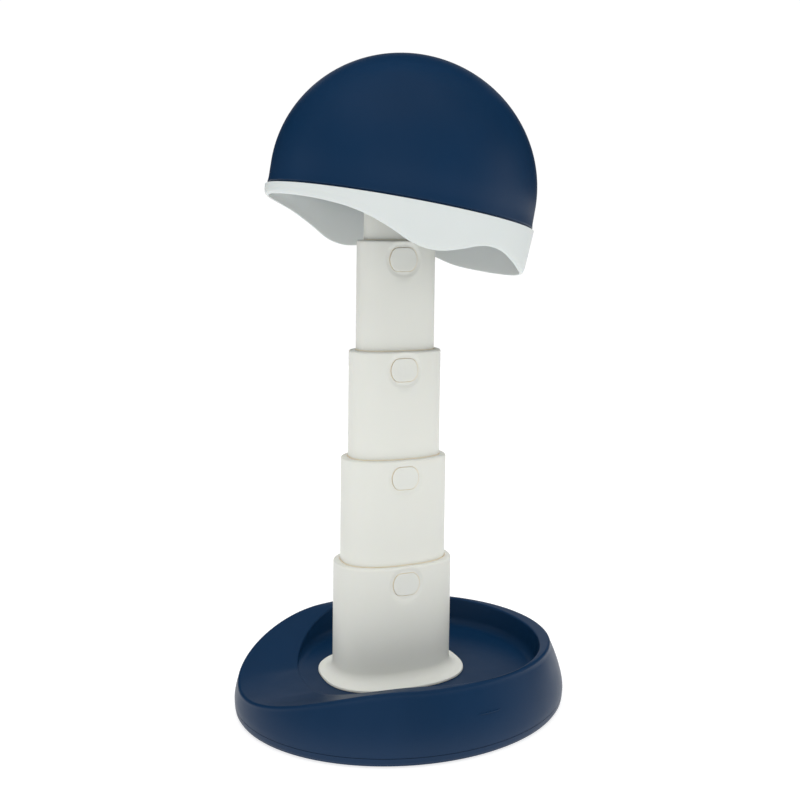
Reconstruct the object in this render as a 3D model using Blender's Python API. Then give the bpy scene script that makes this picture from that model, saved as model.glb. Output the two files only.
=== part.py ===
"""Telescopic wig and cap stand: oval tray, four-stage push-button column, tilting domed head.

Units are metres and +Z is up.  +X points to the back of the head and the buttons face -Y.
The origin is the centre of the footprint, on the surface that the stand rests on.
"""
import math

import bpy
import bmesh
from mathutils import Matrix, Vector

# ---------------------------------------------------------------- driving dimensions
GAP = 0.0003  # clearance between pieces that touch

# tray
TRAY_LENGTH = 0.2114
TRAY_WIDTH = 0.1784
TRAY_BELLY = 0.0090  # height at which the outer wall is widest
TRAY_TUCK = 0.0018  # how far the wall tucks in below the belly
TRAY_LEAN = 0.0106  # how far it leans in above the belly, at its full height
TRAY_LEAN_CURVE = 1.5
TRAY_WALL = 0.0024
TRAY_FLOOR = 0.0206
TRAY_PARTING = 0.0060
TRAY_FRONT_HEIGHT = 0.0192
TRAY_SIDE_HEIGHT = 0.0398
TRAY_BACK_DROP = 0.0026
TRAY_RISE_ANGLE = math.radians(72)
TRAY_CREST_ROUND = 0.0018
TRAY_CREST_OVERHANG = 0.0008  # how far the crest reaches in over the recess
TRAY_HOLLOW = 0.0050  # depth of the hollow's roof below the crest
TRAY_HOLLOW_WALL = 0.0026
RECESS_CENTRE = 0.0115
RECESS_HALF_LENGTH = 0.0765
RECESS_HALF_WIDTH = 0.0753
RECESS_DRAFT = 0.12
RECESS_FILLET = 0.005
RECESS_EDGE = 0.0002
PAN_BOTTOM = 0.0005
PAN_PLATE = 0.0026
PAN_EDGE = 0.0011
PAN_INSET = 0.012
PAN_SINK = 0.0016  # pockets for the screw heads
FOOT_SINK = 0.0008  # pockets for the feet
FOOT_RADIUS = 0.007
FOOT_EDGE = 0.0002
FOOT_SPREAD_X = 0.068
FOOT_SPREAD_Y = 0.052
PAN_SCREW_X = 0.060  # from the recess's centre
PAN_SCREW_Y = 0.036
PAN_SCREW_LENGTH = 0.0100
PAN_SCREW_HOLE_TOP = 0.0140
BOSS_RADIUS = 0.0045
OVERCUT = 0.001  # how far a cutting body runs past the face it opens
SCREW_RADIUS = 0.0015
SCREW_HEAD_RADIUS = 0.0029
SCREW_HEAD_HEIGHT = 0.0017
SCREW_POINT = 0.0008
SCREW_HOLE = SCREW_RADIUS + GAP
SCREW_SINK = SCREW_HEAD_RADIUS + GAP

# telescopic column, the base tube outermost
COLUMN_X = -0.0072
STAGES = ("base", "lower", "middle", "upper", "neck")
BASE_TUBE_HALF_LENGTH = 0.0370
BASE_TUBE_HALF_WIDTH = 0.0235
STAGE_STEP_LENGTH = 0.0043
STAGE_STEP_WIDTH = 0.0038
TUBE_WALL = 0.0016
TUBE_DRAFT = 0.004
TUBE_SQUARENESS = 2.5
TUBE_LENGTH = 0.086
BASE_TUBE_TOP = 0.0939
STAGE_RISE = 0.0646
LIP_WIDTH_IN = 0.0032
LIP_LENGTH_IN = 0.0037
LIP_HEIGHT = 0.0022
RIM_ROUND = 0.0014
LIP_ROUND = 0.0006
NECK_ROUND = 0.0007
FLANGE_HALF_LENGTH = 0.0455
FLANGE_HALF_WIDTH = 0.0345
FLANGE_TOP = 0.0224
FLANGE_FILLET = 0.006
FLANGE_EDGE = 0.0005
FLANGE_SCREW_X = 0.0325
FLANGE_SCREW_Y = 0.0190
FLANGE_SCREW_LENGTH = 0.0038
COLLAR_HEIGHT = 0.0050
COLLAR_LIP = 0.0010
COLLAR_NOTCH = 0.0112

# push-buttons and latches; depths are measured inward from the tube's front
BUTTON_DROP = 0.0110
BUTTON_RADIUS = 0.0084
BUTTON_HALF_HEIGHT = 0.0069
BUTTON_FACE = 0.0005
BUTTON_BEVEL = 0.0003
BUTTON_PLATE_BACK = 0.00145
BUTTON_EAR_FRONT = 0.00255
BUTTON_EAR_BACK = 0.00315
BUTTON_EAR_REACH = 0.0098
BUTTON_EAR_HALF_HEIGHT = 0.0040
BUTTON_LEG_INNER = 0.0057
BUTTON_LEG_OUTER = 0.0072
DISH_RADIUS = 0.0118
DISH_FLAT = 0.0098
DISH_DEPTH = 0.0007
RIB_HALF_LENGTH = 0.0050
RIB_START = 0.0080
RIB_HEIGHT = 0.0014
RIB_REACH = 0.0028
WINDOW_HALF_LENGTH = 0.0108
WINDOW_HALF_HEIGHT = 0.0081
LATCH_HALF_WIDTH = 0.0052
LATCH_NOSE_HALF = 0.0074
LATCH_ARM = 0.0140
LATCH_THICKNESS = 0.0005
LATCH_STANDOFF = 0.00045
LATCH_LEAD = 0.0006

# head
HEAD_TILT = math.radians(9.65)
PIVOT_Z = 0.3620
PIVOT_BEHIND = -0.01186  # pivot ahead of the head's centre, in the head's own frame
PIVOT_ABOVE_SEAM = 0.0546
DOME_HALF_LENGTH = 0.0793
DOME_HALF_WIDTH = 0.0727
DOME_BAND = 0.0125
DOME_CAP = 0.0750
DOME_WALL = 0.0022
DOME_LIP = 0.0003  # the shell's lowest edge stands proud by this
DOME_LIP_HEIGHT = 0.0020
SKIRT_PROUD = 0.0015
SKIRT_WALL = 0.0026
SKIRT_TAPER = 0.06
SKIRT_EDGE = 0.0008
SKIRT_SHOULDER = 0.0008
SPIGOT_HEIGHT = 0.006
SPIGOT_WALL = 0.002
# skirt depth under the seam, by angle from the front: brow, ear lobe, ear arch, nape
SKIRT_OUTLINE = (
    (0.0, 0.0064),
    (32.0, 0.0072),
    (47.0, 0.0090),
    (55.0, 0.0112),
    (62.0, 0.0142),
    (68.0, 0.0174),
    (75.0, 0.0217),
    (81.0, 0.0237),
    (88.0, 0.0238),
    (98.0, 0.0204),
    (104.0, 0.0177),
    (111.0, 0.0162),
    (120.0, 0.0173),
    (129.5, 0.0208),
    (142.0, 0.0248),
    (160.0, 0.0264),
    (180.0, 0.0268),
)
KNUCKLE_RADIUS = 0.0070
KNUCKLE_HALF_WIDTH = 0.0045
KNUCKLE_FOOT = 0.009
KNUCKLE_PLATE = 0.0015
PLUG_DEPTH = 0.012
PLUG_LEAD = 0.001
PLUG_SCREW_DROP = 0.006
PLUG_SCREW_X = 0.010  # where the holes in the plug start
PLUG_SCREW_LENGTH = 0.0070
PLUG_SCREW_SINK = 0.0003  # how far the heads lie inside the tube's face, to pass the next tube's lip
WASHER_THICKNESS = 0.0010
WASHER_RADIUS = 0.0062
CHEEK_THICKNESS = 0.0030
CHEEK_FOOT = 0.011
PIN_RADIUS = 0.0025
PIN_HEAD_RADIUS = 0.0045
PIN_HEAD_HEIGHT = 0.0022
PIN_BEVEL = 0.0004
PIN_TIP = 0.0008
NUT_RADIUS = 0.0044
NUT_HEIGHT = 0.0030
MOUNT_HALF_LENGTH = 0.0340
MOUNT_HALF_WIDTH = 0.0260
MOUNT_PLATE = 0.0030
MOUNT_RISE = 0.0083
MOUNT_SCREW_X = 0.0250
MOUNT_SCREW_Y = 0.0165
MOUNT_BOSS_RADIUS = 0.0040
CROWN_SCREW_LENGTH = 0.0085
CROWN_SCREW_HOLE = 0.0058

ROUND = 32
FINE = 48
HEAD_SIDES = 40
SMALL = 14
SCREW_SIDES = 8
QUARTER = math.pi / 2


# ---------------------------------------------------------------- helpers
def clear_scene():
    for obj in list(bpy.data.objects):
        bpy.data.objects.remove(obj, do_unlink=True)


def material(name, colour, roughness, metallic=0.0):
    mat = bpy.data.materials.new(name)
    mat.use_nodes = True
    shader = mat.node_tree.nodes["Principled BSDF"]
    shader.inputs["Base Color"].default_value = (*colour, 1.0)
    shader.inputs["Roughness"].default_value = roughness
    shader.inputs["Metallic"].default_value = metallic
    return mat


def finish_mesh(name, bm, kind, parent=None):
    """Turn a bmesh into a named object with its own material, its faces pointing out."""
    bmesh.ops.recalc_face_normals(bm, faces=bm.faces)
    mesh = bpy.data.meshes.new(name)
    bm.to_mesh(mesh)
    bm.free()
    mesh.shade_smooth()
    mesh.set_sharp_from_angle(angle=math.radians(35))
    obj = bpy.data.objects.new(name, mesh)
    bpy.context.collection.objects.link(obj)
    colour, roughness, metallic = FINISHES[kind]
    mesh.materials.append(material(name + "_" + kind, colour, roughness, metallic))
    obj.parent = parent
    return obj


def superellipse(half_length, half_width, z, squareness=2.0, centre_x=0.0, count=ROUND):
    """A closed loop of points, counter-clockwise from +X."""
    points = []
    for i in range(count):
        angle = 2 * math.pi * i / count
        c = math.cos(angle)
        s = math.sin(angle)
        x = half_length * math.copysign(abs(c) ** (2 / squareness), c)
        y = half_width * math.copysign(abs(s) ** (2 / squareness), s)
        points.append(Vector((centre_x + x, y, z)))
    return points


def add_rows(bm, rows, wrap):
    """Bridge neighbouring loops with quads; wrap joins the last loop to the first."""
    loops = [[bm.verts.new(p) for p in row] for row in rows]
    pairs = list(zip(loops, loops[1:]))
    if wrap:
        pairs.append((loops[-1], loops[0]))
    for low, high in pairs:
        count = len(low)
        for i in range(count):
            j = (i + 1) % count
            bm.faces.new((low[i], low[j], high[j], high[i]))
    return loops


def ring(name, rows, kind, parent=None):
    """A closed body with a hole through it, from loops that go right round its section."""
    bm = bmesh.new()
    add_rows(bm, rows, wrap=True)
    return finish_mesh(name, bm, kind, parent)


def capped(name, rows, kind, parent=None):
    """A closed body from stacked loops, with a flat cap on its first and last."""
    bm = bmesh.new()
    loops = add_rows(bm, rows, wrap=False)
    bm.faces.new(list(reversed(loops[0])))
    bm.faces.new(loops[-1])
    return finish_mesh(name, bm, kind, parent)


def extruded(name, outline, direction, kind, parent=None):
    """A flat outline pushed along a direction."""
    return capped(name, [outline, [p + direction for p in outline]], kind, parent)


def box(name, low, high, kind="plastic"):
    (x0, y0, z0), (x1, y1, z1) = low, high
    outline = [Vector((x0, y0, z0)), Vector((x1, y0, z0)), Vector((x1, y1, z0)), Vector((x0, y1, z0))]
    return extruded(name, outline, Vector((0, 0, z1 - z0)), kind)


def turned(name, profile, centre, kind, axis="Z", parent=None, count=SMALL):
    """A solid of revolution from (radius, height) pairs, along +Z, -X, +X or +Y."""
    turn = {
        "Z": Matrix.Identity(3),
        "X": Matrix.Rotation(QUARTER, 3, "Y"),
        "-X": Matrix.Rotation(-QUARTER, 3, "Y"),
        "Y": Matrix.Rotation(-QUARTER, 3, "X"),
    }[axis]
    rows = []
    for radius, height in profile:
        row = superellipse(radius, radius, height, count=count)
        rows.append([turn @ p + Vector(centre) for p in row])
    return capped(name, rows, kind, parent)


def apply_boolean(obj, tool, operation="DIFFERENCE"):
    """Cut or join a helper body, made in the same frame, into an object, and remove the helper."""
    tool.parent = obj.parent
    modifier = obj.modifiers.new("cut", "BOOLEAN")
    modifier.operation = operation
    modifier.solver = "EXACT"
    modifier.object = tool
    bpy.context.view_layer.update()
    graph = bpy.context.evaluated_depsgraph_get()
    mesh = bpy.data.meshes.new_from_object(obj.evaluated_get(graph))
    obj.modifiers.clear()
    obj.data = mesh
    keep = obj.data.materials[0]
    obj.data.materials.clear()
    obj.data.materials.append(keep)
    for face in obj.data.polygons:
        face.material_index = 0
    bpy.data.objects.remove(tool, do_unlink=True)


def set_pivot(obj, point):
    """Move an object's origin to a point without moving its mesh in the world."""
    obj.data.transform(Matrix.Translation(-Vector(point)))
    obj.location = point


FINISHES = {
    "navy": ((0.012, 0.045, 0.13), 0.42, 0.0),
    "ivory": ((0.80, 0.79, 0.74), 0.38, 0.0),
    "white": ((0.82, 0.84, 0.83), 0.35, 0.0),
    "acetal": ((0.75, 0.75, 0.72), 0.45, 0.0),
    "plastic": ((0.30, 0.31, 0.33), 0.50, 0.0),
    "rubber": ((0.03, 0.03, 0.03), 0.85, 0.0),
    "steel": ((0.62, 0.63, 0.65), 0.30, 1.0),
}


# ---------------------------------------------------------------- tray
def smooth(t):
    t = min(max(t, 0.0), 1.0)
    return t * t * (3 - 2 * t)


def tray_angle_from_front(i, count):
    angle = 2 * math.pi * i / count
    return abs(math.pi - angle)


def crest_height(i, count):
    """The rim is low at the front and climbs smoothly to the sides and back."""
    from_front = tray_angle_from_front(i, count)
    rise = smooth(from_front / TRAY_RISE_ANGLE)
    back = smooth((from_front - QUARTER) / QUARTER)
    return TRAY_FRONT_HEIGHT + (TRAY_SIDE_HEIGHT - TRAY_FRONT_HEIGHT) * rise - TRAY_BACK_DROP * back


def lean(z):
    """How far inside its widest outline the outer wall stands at a height."""
    if z < TRAY_BELLY:
        return TRAY_TUCK * (1 - math.sqrt(1 - ((TRAY_BELLY - z) / TRAY_BELLY) ** 2))
    return TRAY_LEAN * ((z - TRAY_BELLY) / (TRAY_SIDE_HEIGHT - TRAY_BELLY)) ** TRAY_LEAN_CURVE


def tray_loop(inset, height):
    """A loop round the outer wall; inset and height are functions of the point's index."""
    points = []
    for i in range(FINE):
        angle = 2 * math.pi * i / FINE
        shrink = inset(i)
        x = (TRAY_LENGTH / 2 - shrink) * math.cos(angle)
        y = (TRAY_WIDTH / 2 - shrink) * math.sin(angle)
        points.append(Vector((x, y, height(i))))
    return points


def recess_loop(inset, height):
    points = []
    for i in range(FINE):
        angle = 2 * math.pi * i / FINE
        shrink = inset(i)
        x = RECESS_CENTRE + (RECESS_HALF_LENGTH - shrink) * math.cos(angle)
        y = (RECESS_HALF_WIDTH - shrink) * math.sin(angle)
        points.append(Vector((x, y, height(i))))
    return points


def tray_shell(parent):
    """Upper half of the tray: leaning wall, swept rim, recess, and floor round the column."""
    crest = [crest_height(i, FINE) for i in range(FINE)]
    edge = [max(h, TRAY_FLOOR + GAP) for h in crest]
    bend = TRAY_CREST_ROUND
    rows = [tray_loop(lambda i: lean(TRAY_PARTING), lambda i: TRAY_PARTING)]
    for part in (0.33, 0.67, 1.0):
        height = lambda i, part=part: TRAY_PARTING + (crest[i] - bend - TRAY_PARTING) * part
        rows.append(tray_loop(lambda i, height=height: lean(height(i)), height))
    for turn in (30, 60, 90):
        side = bend * (1 - math.cos(math.radians(turn)))
        rise = bend * math.sin(math.radians(turn))
        rows.append(
            tray_loop(
                lambda i, side=side: lean(crest[i] - bend) + side,
                lambda i, rise=rise: crest[i] - bend + rise,
            )
        )
    rows.append(recess_loop(lambda i: -TRAY_CREST_OVERHANG, lambda i: edge[i]))
    rows.append(recess_loop(lambda i: 0.0, lambda i: TRAY_FLOOR + (edge[i] - TRAY_FLOOR) * 0.93))
    fillet = [min(RECESS_FILLET, 0.8 * (edge[i] - TRAY_FLOOR)) for i in range(FINE)]
    slope = [RECESS_DRAFT * (edge[i] - TRAY_FLOOR - fillet[i]) for i in range(FINE)]
    for turn in (0, 30, 60, 90):
        side = 1 - math.cos(math.radians(turn))
        drop = 1 - math.sin(math.radians(turn))
        rows.append(
            recess_loop(
                lambda i, side=side: slope[i] + RECESS_EDGE + fillet[i] * side,
                lambda i, drop=drop: TRAY_FLOOR + fillet[i] * drop,
            )
        )
    opening_length = BASE_TUBE_HALF_LENGTH + TUBE_DRAFT * TUBE_LENGTH + 2 * GAP
    opening_width = BASE_TUBE_HALF_WIDTH + TUBE_DRAFT * TUBE_LENGTH + 2 * GAP
    under = TRAY_FLOOR - TRAY_WALL
    for z in (TRAY_FLOOR, under):
        rows.append(superellipse(opening_length, opening_width, z, TUBE_SQUARENESS, COLUMN_X, FINE))
    rows.append(recess_loop(lambda i: slope[i], lambda i: under))
    hollow = [max(crest[i] - TRAY_HOLLOW, under) for i in range(FINE)]
    rows.append(recess_loop(lambda i: -TRAY_HOLLOW_WALL, lambda i: hollow[i]))
    wall = TRAY_WALL
    rows.append(tray_loop(lambda i: lean(hollow[i]) + wall, lambda i: hollow[i] - GAP))
    rows.append(tray_loop(lambda i: lean(TRAY_PARTING) + wall, lambda i: TRAY_PARTING))
    shell = ring("tray_shell", rows, "navy", parent)
    for x, y in pan_screw_places():
        bottom = PAN_BOTTOM + PAN_PLATE + GAP
        profile = [(BOSS_RADIUS, bottom), (BOSS_RADIUS, TRAY_FLOOR - TRAY_WALL / 2)]
        apply_boolean(shell, turned("boss", profile, (x, y, 0), "navy"), "UNION")
    for x, y in pan_screw_places():
        apply_boolean(shell, screw_hole((x, y, 0), PAN_SCREW_HOLE_TOP))
    for x, y in four(FLANGE_SCREW_X, FLANGE_SCREW_Y):
        start = under - OVERCUT
        apply_boolean(shell, screw_hole((x + COLUMN_X, y, start), TRAY_WALL + 2 * OVERCUT))
    return shell


def screw_hole(start, length, axis="Z", radius=SCREW_HOLE):
    """Cutting body for a screw's shank or its sunk head."""
    profile = [(radius, 0.0), (radius, length)]
    return turned("hole", profile, start, "plastic", axis, count=SCREW_SIDES)


def four(x, y):
    return [(x, y), (-x, y), (-x, -y), (x, -y)]


def pan_screw_places():
    return [(RECESS_CENTRE + x, y) for x, y in four(PAN_SCREW_X, PAN_SCREW_Y)]


def base_pan(parent):
    """Lower half of the tray: a flat plate with an upstanding edge, meeting the shell at the parting."""
    top = TRAY_PARTING - GAP
    wall = TRAY_WALL
    plate_top = PAN_BOTTOM + PAN_PLATE
    low_edge = PAN_EDGE
    rows = [tray_loop(lambda i: PAN_INSET, lambda i: PAN_BOTTOM)]
    for turn in (0, 30, 60, 90):
        side = low_edge * (1 - math.sin(math.radians(turn)))
        rise = low_edge * (1 - math.cos(math.radians(turn)))
        rows.append(
            tray_loop(
                lambda i, side=side: lean(PAN_BOTTOM) + side,
                lambda i, rise=rise: PAN_BOTTOM + rise,
            )
        )
    rows.append(tray_loop(lambda i: lean(top), lambda i: top))
    rows.append(tray_loop(lambda i: lean(top) + wall, lambda i: top))
    rows.append(tray_loop(lambda i: lean(top) + wall + GAP, lambda i: plate_top))
    pan = capped("base_pan", rows, "navy", parent)
    for x, y in pan_screw_places():
        apply_boolean(pan, screw_hole((x, y, 0), plate_top + OVERCUT))
        profile = [(SCREW_SINK, 0.0), (SCREW_SINK, PAN_BOTTOM + PAN_SINK)]
        apply_boolean(pan, turned("sink", profile, (x, y, 0), "navy", count=SCREW_SIDES))
    for x, y in four(FOOT_SPREAD_X, FOOT_SPREAD_Y):
        radius = FOOT_RADIUS + GAP
        profile = [(radius, 0.0), (radius, PAN_BOTTOM + FOOT_SINK)]
        apply_boolean(pan, turned("pocket", profile, (x, y, 0), "navy"))
    return pan


def screw(name, centre, length, axis="Z", parent=None):
    """A pan-head screw: the head at the start, the shank along the axis, a blunt point."""
    profile = [
        (SCREW_HEAD_RADIUS * 0.8, 0.0),
        (SCREW_HEAD_RADIUS, SCREW_HEAD_HEIGHT * 0.35),
        (SCREW_HEAD_RADIUS, SCREW_HEAD_HEIGHT),
        (SCREW_RADIUS, SCREW_HEAD_HEIGHT),
        (SCREW_RADIUS, SCREW_HEAD_HEIGHT + length - SCREW_POINT),
        (SCREW_RADIUS * 0.4, SCREW_HEAD_HEIGHT + length),
    ]
    return turned(name, profile, centre, "steel", axis, parent, count=SCREW_SIDES)


def feet_and_base_screws(parent):
    for n, (x, y) in enumerate(four(FOOT_SPREAD_X, FOOT_SPREAD_Y), 1):
        top = PAN_BOTTOM + FOOT_SINK - GAP
        profile = [(FOOT_RADIUS - FOOT_EDGE, 0.0), (FOOT_RADIUS, FOOT_EDGE), (FOOT_RADIUS, top)]
        turned("foot_%d" % n, profile, (x, y, 0), "rubber", parent=parent, count=SMALL)
    for n, (x, y) in enumerate(pan_screw_places(), 1):
        start = PAN_BOTTOM + PAN_SINK - GAP - SCREW_HEAD_HEIGHT
        screw("pan_screw_%d" % n, (x, y, start), PAN_SCREW_LENGTH, parent=parent)
    for n, (x, y) in enumerate(four(FLANGE_SCREW_X, FLANGE_SCREW_Y), 1):
        start = TRAY_FLOOR - TRAY_WALL - GAP - SCREW_HEAD_HEIGHT
        screw("flange_screw_%d" % n, (x + COLUMN_X, y, start), FLANGE_SCREW_LENGTH, parent=parent)


# ---------------------------------------------------------------- column
def half_sizes(stage, below_top, inset_length=0.0, inset_width=None):
    """Outer half-axes of a tube at a distance below its own top."""
    if inset_width is None:
        inset_width = inset_length
    spread = TUBE_DRAFT * below_top
    a = BASE_TUBE_HALF_LENGTH - stage * STAGE_STEP_LENGTH + spread - inset_length
    b = BASE_TUBE_HALF_WIDTH - stage * STAGE_STEP_WIDTH + spread - inset_width
    return a, b


def tube_top(stage):
    return BASE_TUBE_TOP + stage * STAGE_RISE


def tube_loop(stage, z, inset_length=0.0, inset_width=None, count=ROUND):
    a, b = half_sizes(stage, tube_top(stage) - z, inset_length, inset_width)
    return superellipse(a, b, z, TUBE_SQUARENESS, COLUMN_X, count)


def front_y(stage, z):
    return -half_sizes(stage, tube_top(stage) - z)[1]


def tube_rows(stage, bottom, has_lip):
    """Loops round a tube's wall: up the outside, over the rounded mouth and down the inside."""
    top = tube_top(stage)
    bend = RIM_ROUND if has_lip else NECK_ROUND
    rows = [tube_loop(stage, bottom), tube_loop(stage, top - bend)]
    for turn in (30, 60, 90):
        side = bend * (1 - math.cos(math.radians(turn)))
        rise = bend * math.sin(math.radians(turn))
        rows.append(tube_loop(stage, top - bend + rise, side))
    if has_lip:
        rows.append(tube_loop(stage, top, LIP_LENGTH_IN - LIP_ROUND, LIP_WIDTH_IN - LIP_ROUND))
        rows.append(tube_loop(stage, top - LIP_ROUND, LIP_LENGTH_IN, LIP_WIDTH_IN))
        rows.append(tube_loop(stage, top - LIP_HEIGHT, LIP_LENGTH_IN, LIP_WIDTH_IN))
        rows.append(tube_loop(stage, top - LIP_HEIGHT - GAP, TUBE_WALL))
    else:
        rows.append(tube_loop(stage, top, TUBE_WALL))
    rows.append(tube_loop(stage, bottom, TUBE_WALL))
    return rows


def button_outline(y, z_centre, grow):
    """The button's face: a circle with a flat at its top and bottom."""
    radius = BUTTON_RADIUS + grow
    half = BUTTON_HALF_HEIGHT + grow
    reach = math.asin(half / radius)
    points = []
    for side in (1, -1):
        for step in range(9):
            angle = -reach + 2 * reach * step / 8
            x = side * radius * math.cos(angle)
            z = side * radius * math.sin(angle)
            points.append(Vector((COLUMN_X + x, y, z_centre + z)))
    return points


def cut_button_seat(tube, stage):
    """Dish and hole in the front wall, and the two catch ribs behind it."""
    z = tube_top(stage) - BUTTON_DROP
    front = front_y(stage, z)
    for side in (1, -1):
        low, high = sorted((z + side * RIB_START, z + side * (RIB_START + RIB_HEIGHT)))
        rib = box(
            "rib",
            (COLUMN_X - RIB_HALF_LENGTH, front + TUBE_WALL / 2, low),
            (COLUMN_X + RIB_HALF_LENGTH, front + RIB_REACH, high),
        )
        apply_boolean(tube, rib, "UNION")
    dish = turned(
        "dish",
        [(DISH_RADIUS + 4 * OVERCUT, -4 * OVERCUT), (DISH_RADIUS, 0.0), (DISH_FLAT, DISH_DEPTH)],
        (COLUMN_X, front, z),
        "plastic",
        axis="Y",
        count=32,
    )
    apply_boolean(tube, dish)
    outline = button_outline(front - OVERCUT, z, GAP)
    hole = extruded("hole", outline, Vector((0, OVERCUT + RIB_REACH, 0)), "plastic")
    apply_boolean(tube, hole)


def cut_latch_window(tube, stage):
    """Window in the inner tube's front, behind the outer tube's button."""
    z = tube_top(stage - 1) - BUTTON_DROP
    front = front_y(stage, z)
    window = box(
        "window",
        (COLUMN_X - WINDOW_HALF_LENGTH, front - OVERCUT, z - WINDOW_HALF_HEIGHT),
        (COLUMN_X + WINDOW_HALF_LENGTH, front + 2 * TUBE_WALL, z + WINDOW_HALF_HEIGHT),
    )
    apply_boolean(tube, window)


def base_tube(parent):
    """Fixed outer tube with a filleted flange that lies on the tray's floor."""
    rows = tube_rows(0, PAN_BOTTOM + PAN_PLATE + GAP, has_lip=True)
    under = TRAY_FLOOR + GAP
    edge = FLANGE_EDGE
    start = FLANGE_TOP + FLANGE_FILLET
    spread = TUBE_DRAFT * (BASE_TUBE_TOP - start)
    flange = [tube_loop(0, under)]
    sizes = (FLANGE_HALF_LENGTH, FLANGE_HALF_WIDTH)
    flange.append(superellipse(*sizes, under, TUBE_SQUARENESS, COLUMN_X))
    flange.append(superellipse(*sizes, FLANGE_TOP - edge, TUBE_SQUARENESS, COLUMN_X))
    sizes = (FLANGE_HALF_LENGTH - edge, FLANGE_HALF_WIDTH - edge)
    flange.append(superellipse(*sizes, FLANGE_TOP, TUBE_SQUARENESS, COLUMN_X))
    for turn in (0, 30, 60):
        out = FLANGE_FILLET * (1 - math.sin(math.radians(turn)))
        rise = FLANGE_FILLET * (1 - math.cos(math.radians(turn)))
        a = BASE_TUBE_HALF_LENGTH + spread + out
        b = BASE_TUBE_HALF_WIDTH + spread + out
        flange.append(superellipse(a, b, FLANGE_TOP + rise, TUBE_SQUARENESS, COLUMN_X))
    flange.append(tube_loop(0, start))
    tube = ring("base_tube", rows[:1] + flange + rows[1:], "ivory", parent)
    for x, y in four(FLANGE_SCREW_X, FLANGE_SCREW_Y):
        start = under - OVERCUT
        apply_boolean(tube, screw_hole((x + COLUMN_X, y, start), FLANGE_TOP - GAP - start))
    cut_button_seat(tube, 0)
    return tube


def sliding_tube(stage, parent):
    has_button = stage < len(STAGES) - 1
    rows = tube_rows(stage, tube_top(stage) - TUBE_LENGTH, has_button)
    tube = ring(STAGES[stage] + "_tube", rows, "ivory", parent)
    cut_latch_window(tube, stage)
    if has_button:
        cut_button_seat(tube, stage)
    return tube


def guide_collar(stage, parent):
    """Bearing collar on a tube's lower end, open at the front to pass the catch ribs."""
    bottom = tube_top(stage) - TUBE_LENGTH
    top = bottom + COLLAR_HEIGHT
    outer = stage - 1
    low = bottom - GAP - COLLAR_LIP
    clear = TUBE_WALL + GAP
    rows = [
        tube_loop(outer, top, clear),
        tube_loop(outer, low, clear),
        tube_loop(stage, low, TUBE_WALL),
        tube_loop(stage, bottom - GAP, TUBE_WALL),
        tube_loop(stage, bottom - GAP, -GAP),
        tube_loop(stage, top, -GAP),
    ]
    collar = ring(STAGES[stage] + "_collar", rows, "acetal", parent)
    notch = box(
        "notch",
        (COLUMN_X - COLLAR_NOTCH, -TRAY_WIDTH / 2, low - OVERCUT),
        (COLUMN_X + COLLAR_NOTCH, 0.0, top + OVERCUT),
    )
    apply_boolean(collar, notch)
    return collar


def latch(stage, parent):
    """Sprung leaf inside a tube whose nose stands between the outer tube's catch ribs."""
    z = tube_top(stage - 1) - BUTTON_DROP
    inner_front = front_y(stage, z) + TUBE_WALL + LATCH_STANDOFF
    back = inner_front + LATCH_THICKNESS
    nose = front_y(stage - 1, z) + BUTTON_PLATE_BACK + GAP
    half = LATCH_NOSE_HALF
    lead = LATCH_LEAD
    profile = [
        (inner_front, z + half + LATCH_ARM),
        (inner_front, z + half),
        (nose + lead, z + half),
        (nose, z + half - lead),
        (nose, z - half + lead),
        (nose + lead, z - half),
        (back, z - half),
        (back, z + half + LATCH_ARM),
    ]
    outline = [Vector((COLUMN_X - LATCH_HALF_WIDTH, y, h)) for y, h in profile]
    return extruded(STAGES[stage] + "_latch", outline, Vector((2 * LATCH_HALF_WIDTH, 0, 0)), "acetal", parent)


def button(stage, parent):
    """Push-button held in a tube's front wall by two ears behind the wall."""
    z = tube_top(stage) - BUTTON_DROP
    front = front_y(stage, z)
    rows = [
        button_outline(front + BUTTON_PLATE_BACK, z, 0.0),
        button_outline(front + BUTTON_FACE + BUTTON_BEVEL, z, 0.0),
        button_outline(front + BUTTON_FACE, z, -BUTTON_BEVEL),
    ]
    name = STAGES[stage] + "_button"
    body = capped(name, rows, "ivory", parent)
    root = (BUTTON_FACE + BUTTON_PLATE_BACK) / 2
    for side in (1, -1):
        profile = [
            (BUTTON_LEG_INNER, root),
            (BUTTON_LEG_OUTER, root),
            (BUTTON_LEG_OUTER, BUTTON_EAR_FRONT),
            (BUTTON_EAR_REACH, BUTTON_EAR_FRONT),
            (BUTTON_EAR_REACH, BUTTON_EAR_BACK),
            (BUTTON_LEG_INNER, BUTTON_EAR_BACK),
        ]
        low = z - BUTTON_EAR_HALF_HEIGHT
        outline = [Vector((COLUMN_X + side * x, front + d, low)) for x, d in profile]
        leg = extruded("leg", outline, Vector((0, 0, 2 * BUTTON_EAR_HALF_HEIGHT)), "ivory")
        apply_boolean(body, leg, "UNION")
    set_pivot(body, (COLUMN_X, front + BUTTON_FACE, z))
    return body


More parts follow.
